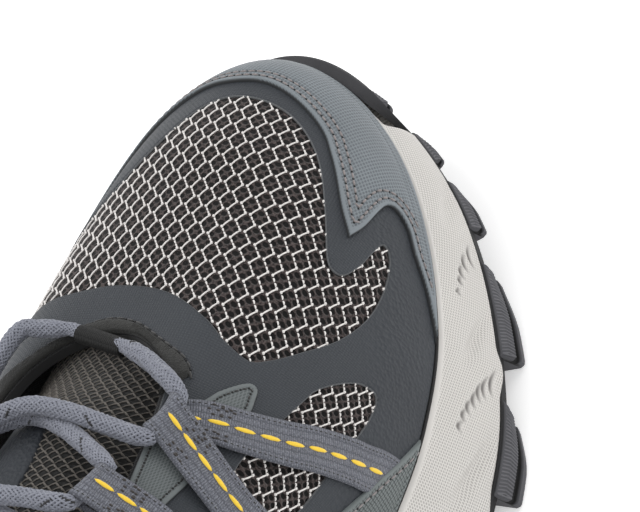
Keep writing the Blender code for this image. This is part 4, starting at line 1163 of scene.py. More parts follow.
# rounded edge of a given thickness, with grooves where rows of stitches pull it in
def edgeProfile(thick, radius, grooves=(), depth=0.0, width=0.45):
    edge, rest = panelForm["edgeFall"]

    def profile(distance):
        share = np.clip(1 - distance / radius, 0, 1)
        top = thick * (edge + rest * np.sqrt(np.maximum(1 - share ** 2, 0)))
        for groove in grooves:
            top = top - depth * np.exp(-((distance - groove) / width) ** 2)
        return top

    return profile


holeForm = {"step": 0.25, "lift": -0.02, "size": (0.62, 0.62, 0.3)}


def rowOnWall(line, out):
    station, up = placeOf(line)
    return skin(station, up, out), wallNormal(station, up)


# rows of stitches on the wall, and the needle holes between them as black beads: real holes with painted
# shade inside
def stitchRows(name, lines, out, stitch, material, slotName):
    paths, normals, holes, holeNormals = [], [], [], []
    trim = max(2, round(stitch["pitch"] / 2 / holeForm["step"]))
    for line in lines:
        both = evenPath(np.column_stack(rowOnWall(line, out)), holeForm["step"])
        paths.append(both[:, :3])
        normals.append(unit(both[:, 3:]))
        if len(both) > 4 * trim:
            holes.append(paths[-1][trim:-trim] + normals[-1][trim:-trim] * holeForm["lift"])
            holeNormals.append(normals[-1][trim:-trim])
    finishPiece(makeStitches(name, paths, normals, stitch, material), slotName)
    hole = {"pitch": stitch["pitch"], "size": holeForm["size"]}
    finishPiece(makeStitches(name + "Holes", holes, holeNormals, hole, finishes["holeBlack"]), slotName)


# Upper: one hollow wall with a rolled top edge, mesh where the film leaves windows, lining inside
upperForm = {
    "wall": 2.4,
    "collarPad": 4.6,
    "collarCrown": 1.4,
    "collarReach": (3.6, 4.8),
    "columns": 320,
    "levels": 84,
    "edgeRound": 6,
    "edgeCrown": 0.35,
    "padRise": (0.45, 0.75),
    "padFall": (0.92, 1.0),
    "padFallShare": 0.45,
    "meshUp": (0.2, 0.93),         # where the outside shows mesh
    "meshInset": (0.05, 0.15),
}


# one round the heel's collar, nothing along the throat
def collarShare(station):
    fromHeel = np.minimum(station, stations - station)
    return 1 - smoothStep(*upperForm["collarReach"], fromHeel)


def wallThickness(station, up):
    fall = upperForm["padFallShare"] * smoothStep(*upperForm["padFall"], up)
    pad = smoothStep(*upperForm["padRise"], up) * (1 - fall)
    return upperForm["wall"] + upperForm["collarPad"] * collarShare(station) * pad


def makeUpper():
    station = evenStations(upperForm["columns"])
    ups = np.linspace(0, 1, upperForm["levels"])
    outer = [skin(station, up, 0.0) for up in ups]
    inner = [skin(station, up, -wallThickness(station, up)) for up in ups]
    crown = upperForm["edgeCrown"] + upperForm["collarCrown"] * collarShare(station)
    roll = []
    for k in range(1, upperForm["edgeRound"]):
        share = k / upperForm["edgeRound"]
        ring = outer[-1] * (1 - share) + inner[-1] * share
        ring[:, 2] += crown * math.sin(math.pi * share)
        roll.append(ring)
    rings = outer + roll + inner[::-1]
    faces = ringFaces(len(rings), len(station), True)
    ringUps = np.concatenate((ups, np.ones(len(roll)), ups[::-1]))
    (spanLow, spanHigh), (rear, fore) = clothForm["stationSpan"], upperForm["meshInset"]
    front = (station > spanLow + rear) & (station < spanHigh - fore)
    low, high = upperForm["meshUp"]
    slots = []
    for r in range(len(rings)):
        meshRow = r < len(ups) - 1 and low < ups[r] < high
        slots += np.where(front & meshRow, 0, 1).tolist()
    allStations = np.tile(station, len(rings))
    allUps = np.repeat(ringUps, len(station))
    uvs = {"wall": wallCoords(allStations, allUps), "cloth": clothCoords(allStations, allUps)}
    materials = [finishes["meshGround"], finishes["lining"]]
    piece = addMesh("upperShell", np.concatenate(rings), faces, materials, uvs, slots)
    return finishPiece(piece, "mesh", "upper")


makeUpper()
print("upper ready")


# White yarn of the mesh: each node is a pair of knots, joined by floats along the rows and columns
yarnForm = {
    "knot": 0.10,
    "rowRadius": 0.205,
    "lift": 0.30,
    "sink": 0.05,
    "reach": 1.6,         # how far it goes under the film
    "nodeReach": 4.0,
    "archPower": 0.6,
    "taper": (0.55, 0.45, 0.5),     # thickness at the ends, what the middle adds, and its power
    "span": 46,
    "sides": 6,
}


def latticeFinder():
    columns, rows = clothFlat.shape[:2]
    points = [(x, y, 0.0) for x, y in clothFlat.reshape(-1, 2)]
    quads = []
    for i in np.flatnonzero(clothStation[1:] < clothForm["mirrorFrom"]).tolist():
        for j in range(rows - 1):
            a = i * rows + j
            quads += [(a, a + rows, a + rows + 1), (a, a + rows + 1, a + 1)]
    tree = BVHTree.FromPolygons(points, quads)
    corners = np.array(points)[:, :2]
    placeStation = clothStation.repeat(rows)
    placeUp = np.tile(clothUp, columns)

    def find(lattice):
        flat = lattice @ clothAxes + clothForm["origin"]
        found = np.full((len(flat), 2), np.nan)
        for n, (x, y) in enumerate(flat):
            hit, _, index, _ = tree.ray_cast(Vector((x, y, 1.0)), Vector((0, 0, -1)))
            if hit is None:
                continue
            a, b, c = quads[index]
            sides = np.column_stack((corners[b] - corners[a], corners[c] - corners[a]))
            share = np.linalg.solve(sides, (x, y) - corners[a])
            weight = np.array((1 - share.sum(), *share))
            found[n] = weight @ placeStation[[a, b, c]], weight @ placeUp[[a, b, c]]
        return found

    return find


def makeMeshYarn():
    find = latticeFinder()
    knot = yarnForm["knot"]
    span = yarnForm["span"]
    nodes = np.mgrid[-span:span, -span:span].T.reshape(-1, 2).astype(float)
    home = find(nodes)
    windows = [leftTurning(window) for window in windowOutlines()]
    real = ~np.isnan(home[:, 0])
    nodes, home = nodes[real], home[real]
    place = np.column_stack((around(home[:, 0]), home[:, 1] * wallSpan))
    near = np.zeros(len(nodes), bool)
    for window in windows:
        near |= inside(insetRow(window, -yarnForm["nodeReach"], True), place)
    nodes = nodes[near]
    # floats from the far knot of a node to the near knot of the next, rows whole and columns as two dashes:
    # start, end, share shown, points, thickness
    shapes = [
        ((knot, knot), (1 - knot, -knot), (0.0, 1.0), 7, 1.0),
        ((knot, knot), (-knot, 1 - knot), (0.2, 0.47), 4, 1.15),
        ((knot, knot), (-knot, 1 - knot), (0.56, 0.83), 4, 1.15),
        ((-knot * 0.85, -knot * 1.7), (-knot * 1.1, -knot * 0.6), (0.0, 1.0), 4, 1.75),
        ((knot * 1.1, knot * 0.6), (knot * 0.85, knot * 1.7), (0.0, 1.0), 4, 1.75),
    ]
    ends, more, power = yarnForm["taper"]
    paths, thick = [], []
    for start, end, (first, last), count, fat in shapes:
        share = np.linspace(first, last, count)
        line = np.array(start)[None] * (1 - share[:, None]) + np.array(end)[None] * share[:, None]
        every = (nodes[:, None] + line[None]).reshape(-1, 2)
        spot = find(every)
        local = np.linspace(0, 1, count)
        wave = np.sin(math.pi * local)
        arch = yarnForm["sink"] + (yarnForm["lift"] - yarnForm["sink"]) * wave ** yarnForm["archPower"]
        taper = fat * (ends + more * wave ** power)
        solid, other = np.full((2, len(spot), 3), np.nan)
        good = ~np.isnan(spot[:, 0])
        outs = np.tile(arch, len(nodes))
        solid[good] = skin(spot[good, 0], spot[good, 1], outs[good])
        other[good] = skin(stations - spot[good, 0], spot[good, 1], outs[good])
        flat = np.column_stack((around(np.nan_to_num(spot[:, 0])), np.nan_to_num(spot[:, 1]) * wallSpan))
        shown = [inside(insetRow(window, -yarnForm["reach"], True), flat) for window in windows]
        for n in range(len(nodes)):
            part = slice(n * count, (n + 1) * count)
            inMain, inSide = (good[part].all() and window[part].all() for window in shown)
            if inMain or inSide:
                paths.append(solid[part])
                thick.append(taper)
            if inSide:
                paths.append(other[part])
                thick.append(taper)
    size = yarnForm["rowRadius"], yarnForm["sides"]
    piece = makeThreads("meshYarn", paths, thick, *size, finishes["whiteYarn"])
    return finishPiece(piece, "mesh")


yarn = makeMeshYarn()
print("mesh yarn ready:", len(yarn.data.polygons), "faces")


# Bonded film round the windows
filmForm = {"base": 0.12, "step": 2.6, "insets": [0.18, 0.45, 0.9], "profile": edgeProfile(0.62, 0.5)}


def makeFilmSkin():
    rear = panelForm["filmRear"]
    frontLow = alongRim(rear[0][0], stations - rear[0][0], panelForm["filmLift"])[1:-1]
    innerRear = straightRun(mirrored(rear)[::-1])
    top = alongLevel(stations - rear[-1][0], rear[-1][0], panelForm["filmTop"])
    outerRear = straightRun(rear[::-1])
    outline = np.concatenate((frontLow, innerRear[:-1], top, outerRear[1:]))
    windows = windowOutlines() + [flatOutline(mirrored(panelForm["sideWindow"]), True)]
    return finishPiece(makePanel("filmSkin", outline, windows, filmForm, finishes["film"]), "film", "film")


makeFilmSkin()
print("film ready")


# Toe cap with two rows of stitches along its edge
capForm = {
    "base": 0.5,
    "step": 2.4,
    "insets": [0.2, 0.5, 1.0, 1.6, 2.0, 2.4, 3.0, 3.7, 4.1, 4.5, 5.2],
    "profile": edgeProfile(1.35, 0.45, (2.0, 4.1), 0.28, 0.5),
    "stitch": {"pitch": 2.3, "size": (1.9, 0.62, 0.55)},
    "rows": (2.0, 4.1),
    "rowKeep": 0.9,
    "jump": 6.0,
    "stitchOut": 1.73,
}


def makeToeCap():
    edge = panelForm["toeCap"] + mirrored(panelForm["toeCap"])[1:]
    top = flatOutline(edge, False)
    outline = np.concatenate((top, alongRim(edge[-1][0], edge[0][0])[1:-1]))
    piece = makePanel("toeCapSkin", outline, [], capForm, finishes["cap"])
    finishPiece(piece, "embossed", "toe_cap")
    lines = []
    for distance in capForm["rows"]:
        row = insetRow(top, -distance, False)
        lines += clearRuns(row, outline, distance * capForm["rowKeep"], capForm["jump"])
    thread = finishes["greyThread"]
    stitchRows("toeCapStitches", lines, capForm["stitchOut"], capForm["stitch"], thread, "embossed")


makeToeCap()
print("toe cap ready")


# Woven rear quarter, wrapping the heel
quarterForm = {
    "base": 0.5,
    "step": 3.2,
    "insets": [0.2, 0.5, 1.0, 1.5, 2.0, 2.6],
    "profile": edgeProfile(1.35, 0.7, (1.6,), 0.3, 0.45),
    "stitch": {"pitch": 2.6, "size": (2.1, 0.5, 0.45)},
    "stitchInset": 1.6,
    "stitchOut": 1.62,
}


def makeQuarter():
    outerEdge = [(station + stations, *rest) for station, *rest in panelForm["quarter"]]
    edge = outerEdge + mirrored(panelForm["quarter"])[1:]
    top = flatOutline(edge, False)
    low = alongRim(edge[-1][0], edge[0][0])[1:-1]
    piece = makePanel("quarterSkin", np.concatenate((top, low)), [], quarterForm, finishes["woven"])
    finishPiece(piece, "woven", "quarter")
    rows = [insetRow(top, quarterForm["stitchInset"], False)[3:-3]]
    thread = finishes["greyThread"]
    stitchRows("quarterStitches", rows, quarterForm["stitchOut"], quarterForm["stitch"], thread, "woven")


makeQuarter()
print("quarter ready")


# Eyestays below the lace loops, and the felt binding round the throat
eyestayForm = {
    "base": 0.5,
    "step": 2.2,
    "insets": [0.2, 0.5, 1.0, 1.6, 2.2],
    "profile": edgeProfile(1.1, 0.6, (1.5,), 0.22, 0.45),
    "stitch": {"pitch": 2.0, "size": (1.2, 0.5, 0.45)},
    "stitchInset": 1.5,
    "stitchClear": 1.4,
    "jump": 5.0,
    "stitchOut": 1.45,
}
bindingForm = {
    "base": 0.5,
    "step": 1.4,
    "insets": [0.25, 0.6],
    "profile": edgeProfile(1.2, 0.8),
    "top": 0.999,
    "stitch": {"pitch": 3.0, "size": (2.5, 0.55, 0.5)},
    "stitchInset": -0.25,
    "stitchOut": 1.1,
}


def makeEyestays():
    for side in ("outer", "inner"):
        rows = panelForm["eyestay"] if side == "outer" else mirrored(panelForm["eyestay"])
        outline = flatOutline(rows, True)
        label = side.capitalize()
        piece = makePanel("eyestay" + label, outline, [], eyestayForm, finishes["eyestay"])
        finishPiece(piece, "embossed", "eyestay_" + side)
        loop = leftTurning(outline)
        row = insetRow(loop, eyestayForm["stitchInset"], True)
        lines = clearRuns(row, loop, eyestayForm["stitchClear"], eyestayForm["jump"])
        name, thread = "eyestayStitches" + label, finishes["darkThread"]
        stitchRows(name, lines, eyestayForm["stitchOut"], eyestayForm["stitch"], thread, "embossed")


def makeBinding():
    edge = panelForm["binding"]
    low = flatOutline(edge, False)
    outline = np.concatenate((low, alongLevel(edge[-1][0], edge[0][0], bindingForm["top"])))
    piece = makePanel("throatBinding", outline, [], bindingForm, finishes["felt"])
    finishPiece(piece, "binding", "throat_binding")
    rows = [insetRow(low, bindingForm["stitchInset"], False)]
    thread = finishes["darkThread"]
    stitchRows("bindingStitches", rows, bindingForm["stitchOut"], bindingForm["stitch"], thread, "binding")


makeEyestays()
makeBinding()
print("eyestays and binding ready")


# Webbing: a strip of rounded section along a path, given the direction its face looks
stripForm = {"corner": 0.42, "across": 10}    # corner radius in thicknesses, points across a face


def makeStrip(name, path, over, width, thick, material):
    run = unit(np.gradient(path, axis=0))
    across = unit(np.cross(over, run))
    face = np.cross(run, across)
    corner = thick * stripForm["corner"]
    section = []
    for sideX, sideY, turn in ((1, -1, -90), (1, 1, 0), (-1, 1, 90), (-1, -1, 180)):
        for angle in np.radians((turn, turn + 45, turn + 90)):
            section.append((sideX * (width / 2 - corner) + corner * math.cos(angle),
                            sideY * (thick / 2 - corner) + corner * math.sin(angle)))
    section = np.array(section)
    upper = np.linspace(section[5], section[6], stripForm["across"])[1:-1]
    under = np.linspace(section[11], section[0], stripForm["across"])[1:-1]
    section = np.concatenate((section[:6], upper, section[6:12], under))
    rings = [path[i] + section[:, :1] * across[i] + section[:, 1:] * face[i] for i in range(len(path))]
    faces = ringFaces(len(rings), len(section), False)
    lengths = np.concatenate(([0.0], np.cumsum(np.linalg.norm(np.diff(path, axis=0), axis=1))))
    uv = np.column_stack((np.tile(section[:, 0], len(path)), lengths.repeat(len(section))))
    return addMesh(name, np.concatenate(rings), faces, [material], {"strip": uv}), across, face


strapForm = {
    "width": 10.6,
    "thick": 1.1,
    "step": 0.9,
    # loop station, share up, distance out over the throat, slant of the fold, rows of its under and over leg
    "loops": [(6.54, 0.9275, 0.0, 24.0, 8, 6), (5.90, 1.0, 5.2, 8.0, 0, 4), (5.10, 1.0, 3.0, 8.0, 0, 3)],
    # distance back from the loop, share up, height above the wall
    "legUnder": [
        (-0.12, 0.826, 2.35), (-0.35, 0.694, 2.0), (-0.52, 0.575, 1.6), (-0.61, 0.484, 1.45),
        (-0.72, 0.365, 1.15), (-0.77, 0.31, 1.1), (-0.81, 0.24, 0.8), (-0.85, 0.18, 0.5),
    ],
    "legShort": [(-0.10, 0.95, 2.3), (-0.18, 0.90, 2.3)],
    "legOver": [
        (-0.29, 0.858, 3.8), (-0.56, 0.781, 3.2), (-0.74, 0.717, 2.3), (-0.93, 0.648, 1.7),
        (-1.10, 0.58, 1.5), (-1.30, 0.50, 1.4),
    ],
    # ends of the over legs, under the quarter's edge
    "tucks": [
        [(-1.40, 0.445, 1.0), (-1.50, 0.37, 0.5)],
        [(-1.08, 0.59, 1.3), (-1.25, 0.525, 0.8), (-1.38, 0.46, 0.5)],
        [(-0.93, 0.655, 1.6), (-1.08, 0.595, 0.9), (-1.22, 0.53, 0.5)],
    ],
    "lean": 18.0,
    "rise": 4.3,
    "turn": (-90, 90, 9),
    "laceRoom": 0.1,
    "tunnelTop": 0.97,
    "tunnelReach": 0.05,
    "yellow": {"pitch": 5.4, "size": (5.1, 1.1, 0.8)},
    "tack": {"pitch": 1.5, "size": (1.0, 0.6, 0.45)},
    "edge": {"pitch": 1.3, "size": (0.8, 0.3, 0.22)},
    "stitchLift": 0.03,
    "edgeInset": 1.1,
    "edgeClear": (3.0, 2.0),         # from the fold, on the under and the over leg
    "yellowOver": (6.0, 5.0),        # from the fold and from the end of the over leg
    "yellowUnder": (8.0, 6.5),       # from the start of the under leg and from the fold
    "yellowShift": 0.6,
    "tackStarts": (9.5, -16.0),      # from the fold, on the over and the under leg
    "tackShifts": (-3.9, -2.6, 1.9, 3.2, 4.2),
    "tackRow": 2.6,
    "tackLength": 2.8,
    "tackStray": (0.6, 0.3),
}
laceForm = {
    "diameter": 4.3,
    "squash": 0.62,        # how far a loop pulls the lace together
    "keeperSquash": 0.75,
    "rest": 0.9,
    "crossAhead": (9.0, 6.0),    # how far the crossings lie before the middle of their loops
    # through a loop from the heel side: distance along, and out over the throat
    "bend": [(-8.0, 2.6), (-5.8, 0.5), (-3.0, 0.1), (0.0, 0.0), (3.0, 0.1), (5.6, 0.7), (6.8, 2.2)],
    # front bar: x, y and z
    "bar": [
        (186.4, -22.3, 89.3), (191.7, -14.9, 87.0), (196.5, -6.2, 85.4), (199.3, 2.6, 84.4),
        (202.0, 10.0, 85.2), (202.0, 13.5, 85.8), (201.9, 18.2, 86.9), (200.0, 23.0, 88.6),
    ],
    "keeperBar": 3,
    "held": 4.5,                 # how far the squeeze reaches from the middle of a loop
    "keeperHeld": 8.6,
    "pinchFade": 4.5,
}


# middle of a lace loop, with the lace's direction, the way out over the throat and the way up
def tunnel(order, side):
    loopStation, up, out = strapForm["loops"][order][:3]
    station = onSide(loopStation, side)
    level, reach = min(up, strapForm["tunnelTop"]), strapForm["tunnelReach"]
    normal = wallNormal(station, level)
    along = wallPoint(station + reach, level) - wallPoint(station - reach, level)
    along = unit(along - normal * (along @ normal))
    if along[0] < 0:
        along = -along
    upward = np.cross(normal, along) * (1 if side == "outer" else -1)
    lean = math.radians(strapForm["lean"])
    axis = along * math.cos(lean) - upward * math.sin(lean)
    rising = upward * math.cos(lean) + along * math.sin(lean)
    middle = wallPoint(station, up) + normal * strapForm["rise"] + rising * out
    return middle, axis, rising, normal


def legRows(rows, loopStation, side, face):
    path, over = [], []
    for back, up, out in rows:
        station = onSide(loopStation + back, side)
        path.append(skin(station, up, out))
        over.append(face * wallNormal(station, up))
    return path, over


def smoothStrap(path, over):
    both = np.column_stack((np.array(path), np.array(over)))
    fine = evenPath(throughPoints(both, [0] * len(both), strapForm["step"], False), strapForm["step"])
    return fine[:, :3], unit(fine[:, 3:6])


# up the under leg, slanting round the lace, and down the over leg
def strapPath(order, side):
    loopStation, _, _, slant, underCount, overCount = strapForm["loops"][order]
    middle, axis, rising, normal = tunnel(order, side)
    radius = laceForm["diameter"] / 2 * laceForm["squash"] + strapForm["laceRoom"] + strapForm["thick"] / 2
    under = strapForm["legUnder"][:underCount] or strapForm["legShort"]
    path, over = legRows(under[::-1], loopStation, side, -1)
    start, end, steps = strapForm["turn"]
    slip = math.tan(math.radians(slant)) * radius
    for angle in np.radians(np.linspace(start, end, steps)):
        radial = rising * math.cos(angle) + normal * math.sin(angle)
        path.append(middle + radial * radius - axis * slip * angle)
        over.append(radial)
    overRows = strapForm["legOver"][:overCount] + strapForm["tucks"][order]
    legPath, legOver = legRows(overRows, loopStation, side, 1)
    path, over = smoothStrap(path + legPath, over + legOver)
    fold = np.argmin(np.linalg.norm(path - middle - rising * radius, axis=1))
    return path, over, fold * strapForm["step"]


def makeStraps():
    rows = {"yellow": ([], []), "tack": ([], []), "edge": ([], [])}
    random = np.random.default_rng(5)

    # a row of stitches on the upper face of a strap: that face changes at the fold
    def sew(kind, strap, start, end, shift):
        path, across, face, run, fold = strap
        way = -1 if end < fold else 1
        keep = (run >= start) & (run <= end)
        if keep.sum() > 2:
            lift = way * (strapForm["thick"] / 2 + strapForm["stitchLift"])
            rows[kind][0].append((path + face * lift + across * shift)[keep])
            rows[kind][1].append(way * face[keep])

    # two short uneven rows of tacks across a strap
    def sewTacks(strap, start):
        strayAlong, strayAside = strapForm["tackStray"]
        for row in range(2):
            for shift in strapForm["tackShifts"]:
                first = start + strapForm["tackRow"] * row + random.uniform(-strayAlong, strayAlong)
                aside = shift + random.uniform(-strayAside, strayAside)
                sew("tack", strap, first, first + strapForm["tackLength"], aside)

    for side in ("outer", "inner"):
        sign = 1 if side == "outer" else -1
        for order in range(len(strapForm["loops"])):
            name = f"strap{side.capitalize()}{order + 1}"
            path, over, fold = strapPath(order, side)
            size = strapForm["width"], strapForm["thick"]
            piece, across, face = makeStrip(name, path, over, *size, finishes["webbing"])
            finishPiece(piece, "webbing", f"strap_{side}_{order + 1}")
            run = np.arange(len(path)) * strapForm["step"]
            strap = (path, across, face, run, fold)
            before, past = strapForm["edgeClear"]
            for way in (-1, 1):
                inset = way * (strapForm["width"] / 2 - strapForm["edgeInset"])
                sew("edge", strap, 0.0, fold - before, inset)
                sew("edge", strap, fold + past, run[-1], inset)
            start, end = strapForm["yellowOver"]
            sew("yellow", strap, fold + start, run[-1] - end, strapForm["yellowShift"] * sign)
            sewTacks(strap, fold + strapForm["tackStarts"][0])
            if order == 0:
                start, end = strapForm["yellowUnder"]
                sew("yellow", strap, start, fold - end, 0.0)
                sewTacks(strap, fold + strapForm["tackStarts"][1])
    labels = {"yellow": "yellowStitches", "tack": "strapTacks", "edge": "webbingEdges"}
    threads = {"yellow": "yellowThread", "tack": "tackThread", "edge": "darkThread"}
    for kind, label in labels.items():
        stitches = makeStitches(label, *rows[kind], strapForm[kind], finishes[threads[kind]])
        finishPiece(stitches, "webbing")


makeStraps()
print("straps ready")


# Tongue of thick air mesh
tongueForm = {
    "middleY": 2.5,
    "thick": 4.5,
    "edgeThick": 2.0,
    # x, crown, half width, fall
    "rows": [
        (214, 74.6, 15, 3.0), (203, 77.6, 18, 3.8), (192, 82.5, 23, 9.0), (175, 94.5, 27, 23.5),
        (154, 102.5, 28, 22.0), (135, 110.0, 27.5, 22.5), (120, 120.0, 25, 25.0),
    ],
    "span": (214.0, 120.0, 80),
    "columns": 49,
    "frontTaper": (214.0, 194.0),
    "rearTaper": (120.0, 124.0),
    "rearShare": 0.5,
    "zigzag": {
        "line": 1.25, "half": 1.15, "radius": 0.27, "lift": 0.25, "thin": 0.5,
        "span": (213.0, 121.0), "reach": 29.0, "slant": 0.18, "swing": 0.46, "dip": 0.8, "margin": 1.0,
    },
    "patch": {
        "middle": (156.0, 11.0), "half": (22.0, 11.5), "thick": 0.9, "power": 3.0, "points": 72,
        # from below: share of the half sizes, and lift in thicknesses
        "rings": [(0.5, -0.6), (1.0, -0.6), (1.0, 0.35), (0.985, 0.7), (0.95, 0.9), (0.6, 0.95), (0.2, 0.95)],
    },
}
tongueX, *tongueColumns = np.array(tongueForm["rows"], float)[::-1].T
tongueCurve = {}
for label, column in zip(("crown", "half", "fall"), tongueColumns):
    tongueCurve[label] = monotoneCurve(tongueX, column)


def tongueTop(x, y):
    share = (y - tongueForm["middleY"]) / tongueCurve["half"](x)
    return tongueCurve["crown"](x) - tongueCurve["fall"](x) * share ** 2


def makeTongue():
    xs = np.linspace(*tongueForm["span"])
    shares = np.linspace(-1, 1, tongueForm["columns"])
    top, under, uv = [], [], []
    for x in xs:
        y = tongueForm["middleY"] + shares * tongueCurve["half"](x)
        z = tongueTop(x, y)
        rear = tongueForm["rearShare"] * (1 - smoothStep(*tongueForm["rearTaper"], x))
        full = smoothStep(*tongueForm["frontTaper"], x) * (1 - rear)
        swell = (tongueForm["thick"] - tongueForm["edgeThick"]) * (1 - shares ** 4) * full
        thick = tongueForm["edgeThick"] + swell
        top.append(np.column_stack((np.full_like(y, x), y, z)))
        under.append(np.column_stack((np.full_like(y, x), y, z - thick)))
        uv.append(np.column_stack((y / 100, np.full_like(y, x / 100))))
    wide, count = len(shares), len(xs) * len(shares)
    faces = []
    for r in range(len(xs) - 1):
        for i in range(wide - 1):
            a = r * wide + i
            faces.append((a, a + 1, a + wide + 1, a + wide))
            faces.append((a + count, a + wide + count, a + wide + 1 + count, a + 1 + count))
    border = list(range(wide)) + [r * wide + wide - 1 for r in range(1, len(xs))]
    border += list(range(count - 2, count - wide - 1, -1)) + [r * wide for r in range(len(xs) - 2, 0, -1)]
    faces += [(a, a + count, b + count, b) for a, b in zip(border, border[1:] + border[:1])]
    wall = np.tile(np.concatenate(uv), (2, 1))
    points = np.concatenate(top + under)
    piece = addMesh("tongueBody", points, faces, [finishes["tongueBase"]], {"wall": wall})
    finishPiece(piece, "air_mesh", "tongue")
    zigzag = tongueForm["zigzag"]
    paths, thick = [], []
    front, rear = zigzag["span"]
    for n in range(int((front - rear) / zigzag["line"])):
        across = np.arange(-zigzag["reach"], zigzag["reach"], zigzag["half"] / 2)
        swing = np.array([0.0, 1.0, 0.0, -1.0])[np.arange(len(across)) % 4]
        y = tongueForm["middleY"] + across + (n % 2) * zigzag["half"]
        x = front - n * zigzag["line"] - zigzag["slant"] * across + swing * zigzag["line"] * zigzag["swing"]
        keep = np.abs(y - tongueForm["middleY"]) < tongueCurve["half"](x) - zigzag["margin"]
        keep &= (x > rear) & (x < front)
        if keep.sum() < 6:
            continue
        fat = np.where(np.arange(len(across)) % 4 < 2, 1.0, zigzag["thin"])
        z = tongueTop(x, y) + zigzag["lift"] * (1 - zigzag["dip"] * np.abs(swing))
        paths.append(np.column_stack((x, y, z))[keep])
        thick.append(fat[keep])
    yarnPiece = makeThreads("tongueYarn", paths, thick, zigzag["radius"], 5, finishes["tongueYarn"])
    finishPiece(yarnPiece, "air_mesh")
    makeTonguePatch()


# bare smooth patch sewn on the tongue
def makeTonguePatch():
    patch = tongueForm["patch"]
    turns = np.arange(patch["points"]) * 2 * math.pi / patch["points"]
    unitX = np.sign(np.cos(turns)) * np.abs(np.cos(turns)) ** (2 / patch["power"])
    unitY = np.sign(np.sin(turns)) * np.abs(np.sin(turns)) ** (2 / patch["power"])
    rings = []
    for share, lift in patch["rings"]:
        x = patch["middle"][0] + unitX * patch["half"][0] * share
        y = patch["middle"][1] + unitY * patch["half"][1] * share
        rings.append(np.column_stack((x, y, tongueTop(x, y) + lift * patch["thick"])))
    points = np.concatenate(rings)
    uvs = {"wall": points[:, :2] / 100, "cloth": points[:, :2], "edge": np.ones((len(points), 2))}
    faces = ringFaces(len(rings), patch["points"], False)
    piece = addMesh("tonguePatch", points, faces, [finishes["film"]], uvs)
    finishPiece(piece, "film")


makeTongue()
print("tongue ready")


# Lace: through the loops, crossing over the tongue, and the front bar under the keeper
braidForm = {
    "strands": 24,
    "strandRadius": 0.33,
    "weave": 0.13,
    "turnLength": 14.0,
    "step": 0.85,
    "tracerEvery": 24.0,
    "tracerLength": 2.6,
    "tracerShift": 1.7,
    "tracerFat": 1.04,
    "coreSides": 14,
    "clear": 0.12,         # from the core to the middle of the strands
}


def laceRoute():
    lift = laceForm["diameter"] / 2 + laceForm["rest"]
    middleY = tongueForm["middleY"]

    def passLoop(order, side, forward):
        middle, axis, rising, _ = tunnel(order, side)
        points = [middle + axis * along + rising * out for along, out in laceForm["bend"]]
        return points if forward else points[::-1]

    def crossing(order, above):
        middle = (passLoop(order, "outer", True)[0] + passLoop(order + 1, "inner", True)[-1]) / 2
        middle[0] += laceForm["crossAhead"][order]
        middle[1] = middleY
        rise = laceForm["diameter"] + laceForm["rest"] if above else 0.0
        middle[2] = tongueTop(middle[0], middle[1]) + lift + rise
        return middle

    halves = []
    for side, away, tops in (("outer", "inner", (True, False)), ("inner", "outer", (False, True))):
        run = passLoop(0, side, False) + [crossing(0, tops[0])]
        run += passLoop(1, away, False) + [crossing(1, tops[1])]
        run += passLoop(2, side, False)[:4]
        halves.append(run)
    return halves[0][::-1] + [np.array(point) for point in laceForm["bar"]] + halves[1]


# how far the loops and the keeper pull the lace together along its path
def lacePinch(path):
    orders = range(len(strapForm["loops"]))
    loops = [tunnel(order, side)[0] for order in orders for side in ("outer", "inner")]
    places = [(middle, laceForm["squash"], laceForm["held"]) for middle in loops]
    keeper = np.array(laceForm["bar"][laceForm["keeperBar"]])
    places.append((keeper, laceForm["keeperSquash"], laceForm["keeperHeld"]))
    pinch = np.ones(len(path))
    for middle, squash, held in places:
        near = np.linalg.norm(path - middle, axis=1)
        free = smoothStep(held, held + laceForm["pinchFade"], near)
        pinch = np.minimum(pinch, 1 - (1 - squash) * (1 - free))
    return pinch


def transportFrames(path):
    run = unit(np.gradient(path, axis=0))
    side = np.cross(run[0], (0.0, 0.0, 1.0))
    frames = []
    for direction in run:
        side = side - direction * (side @ direction)
        side = side / np.linalg.norm(side)
        frames.append((side, np.cross(direction, side)))
    return np.array(frames)


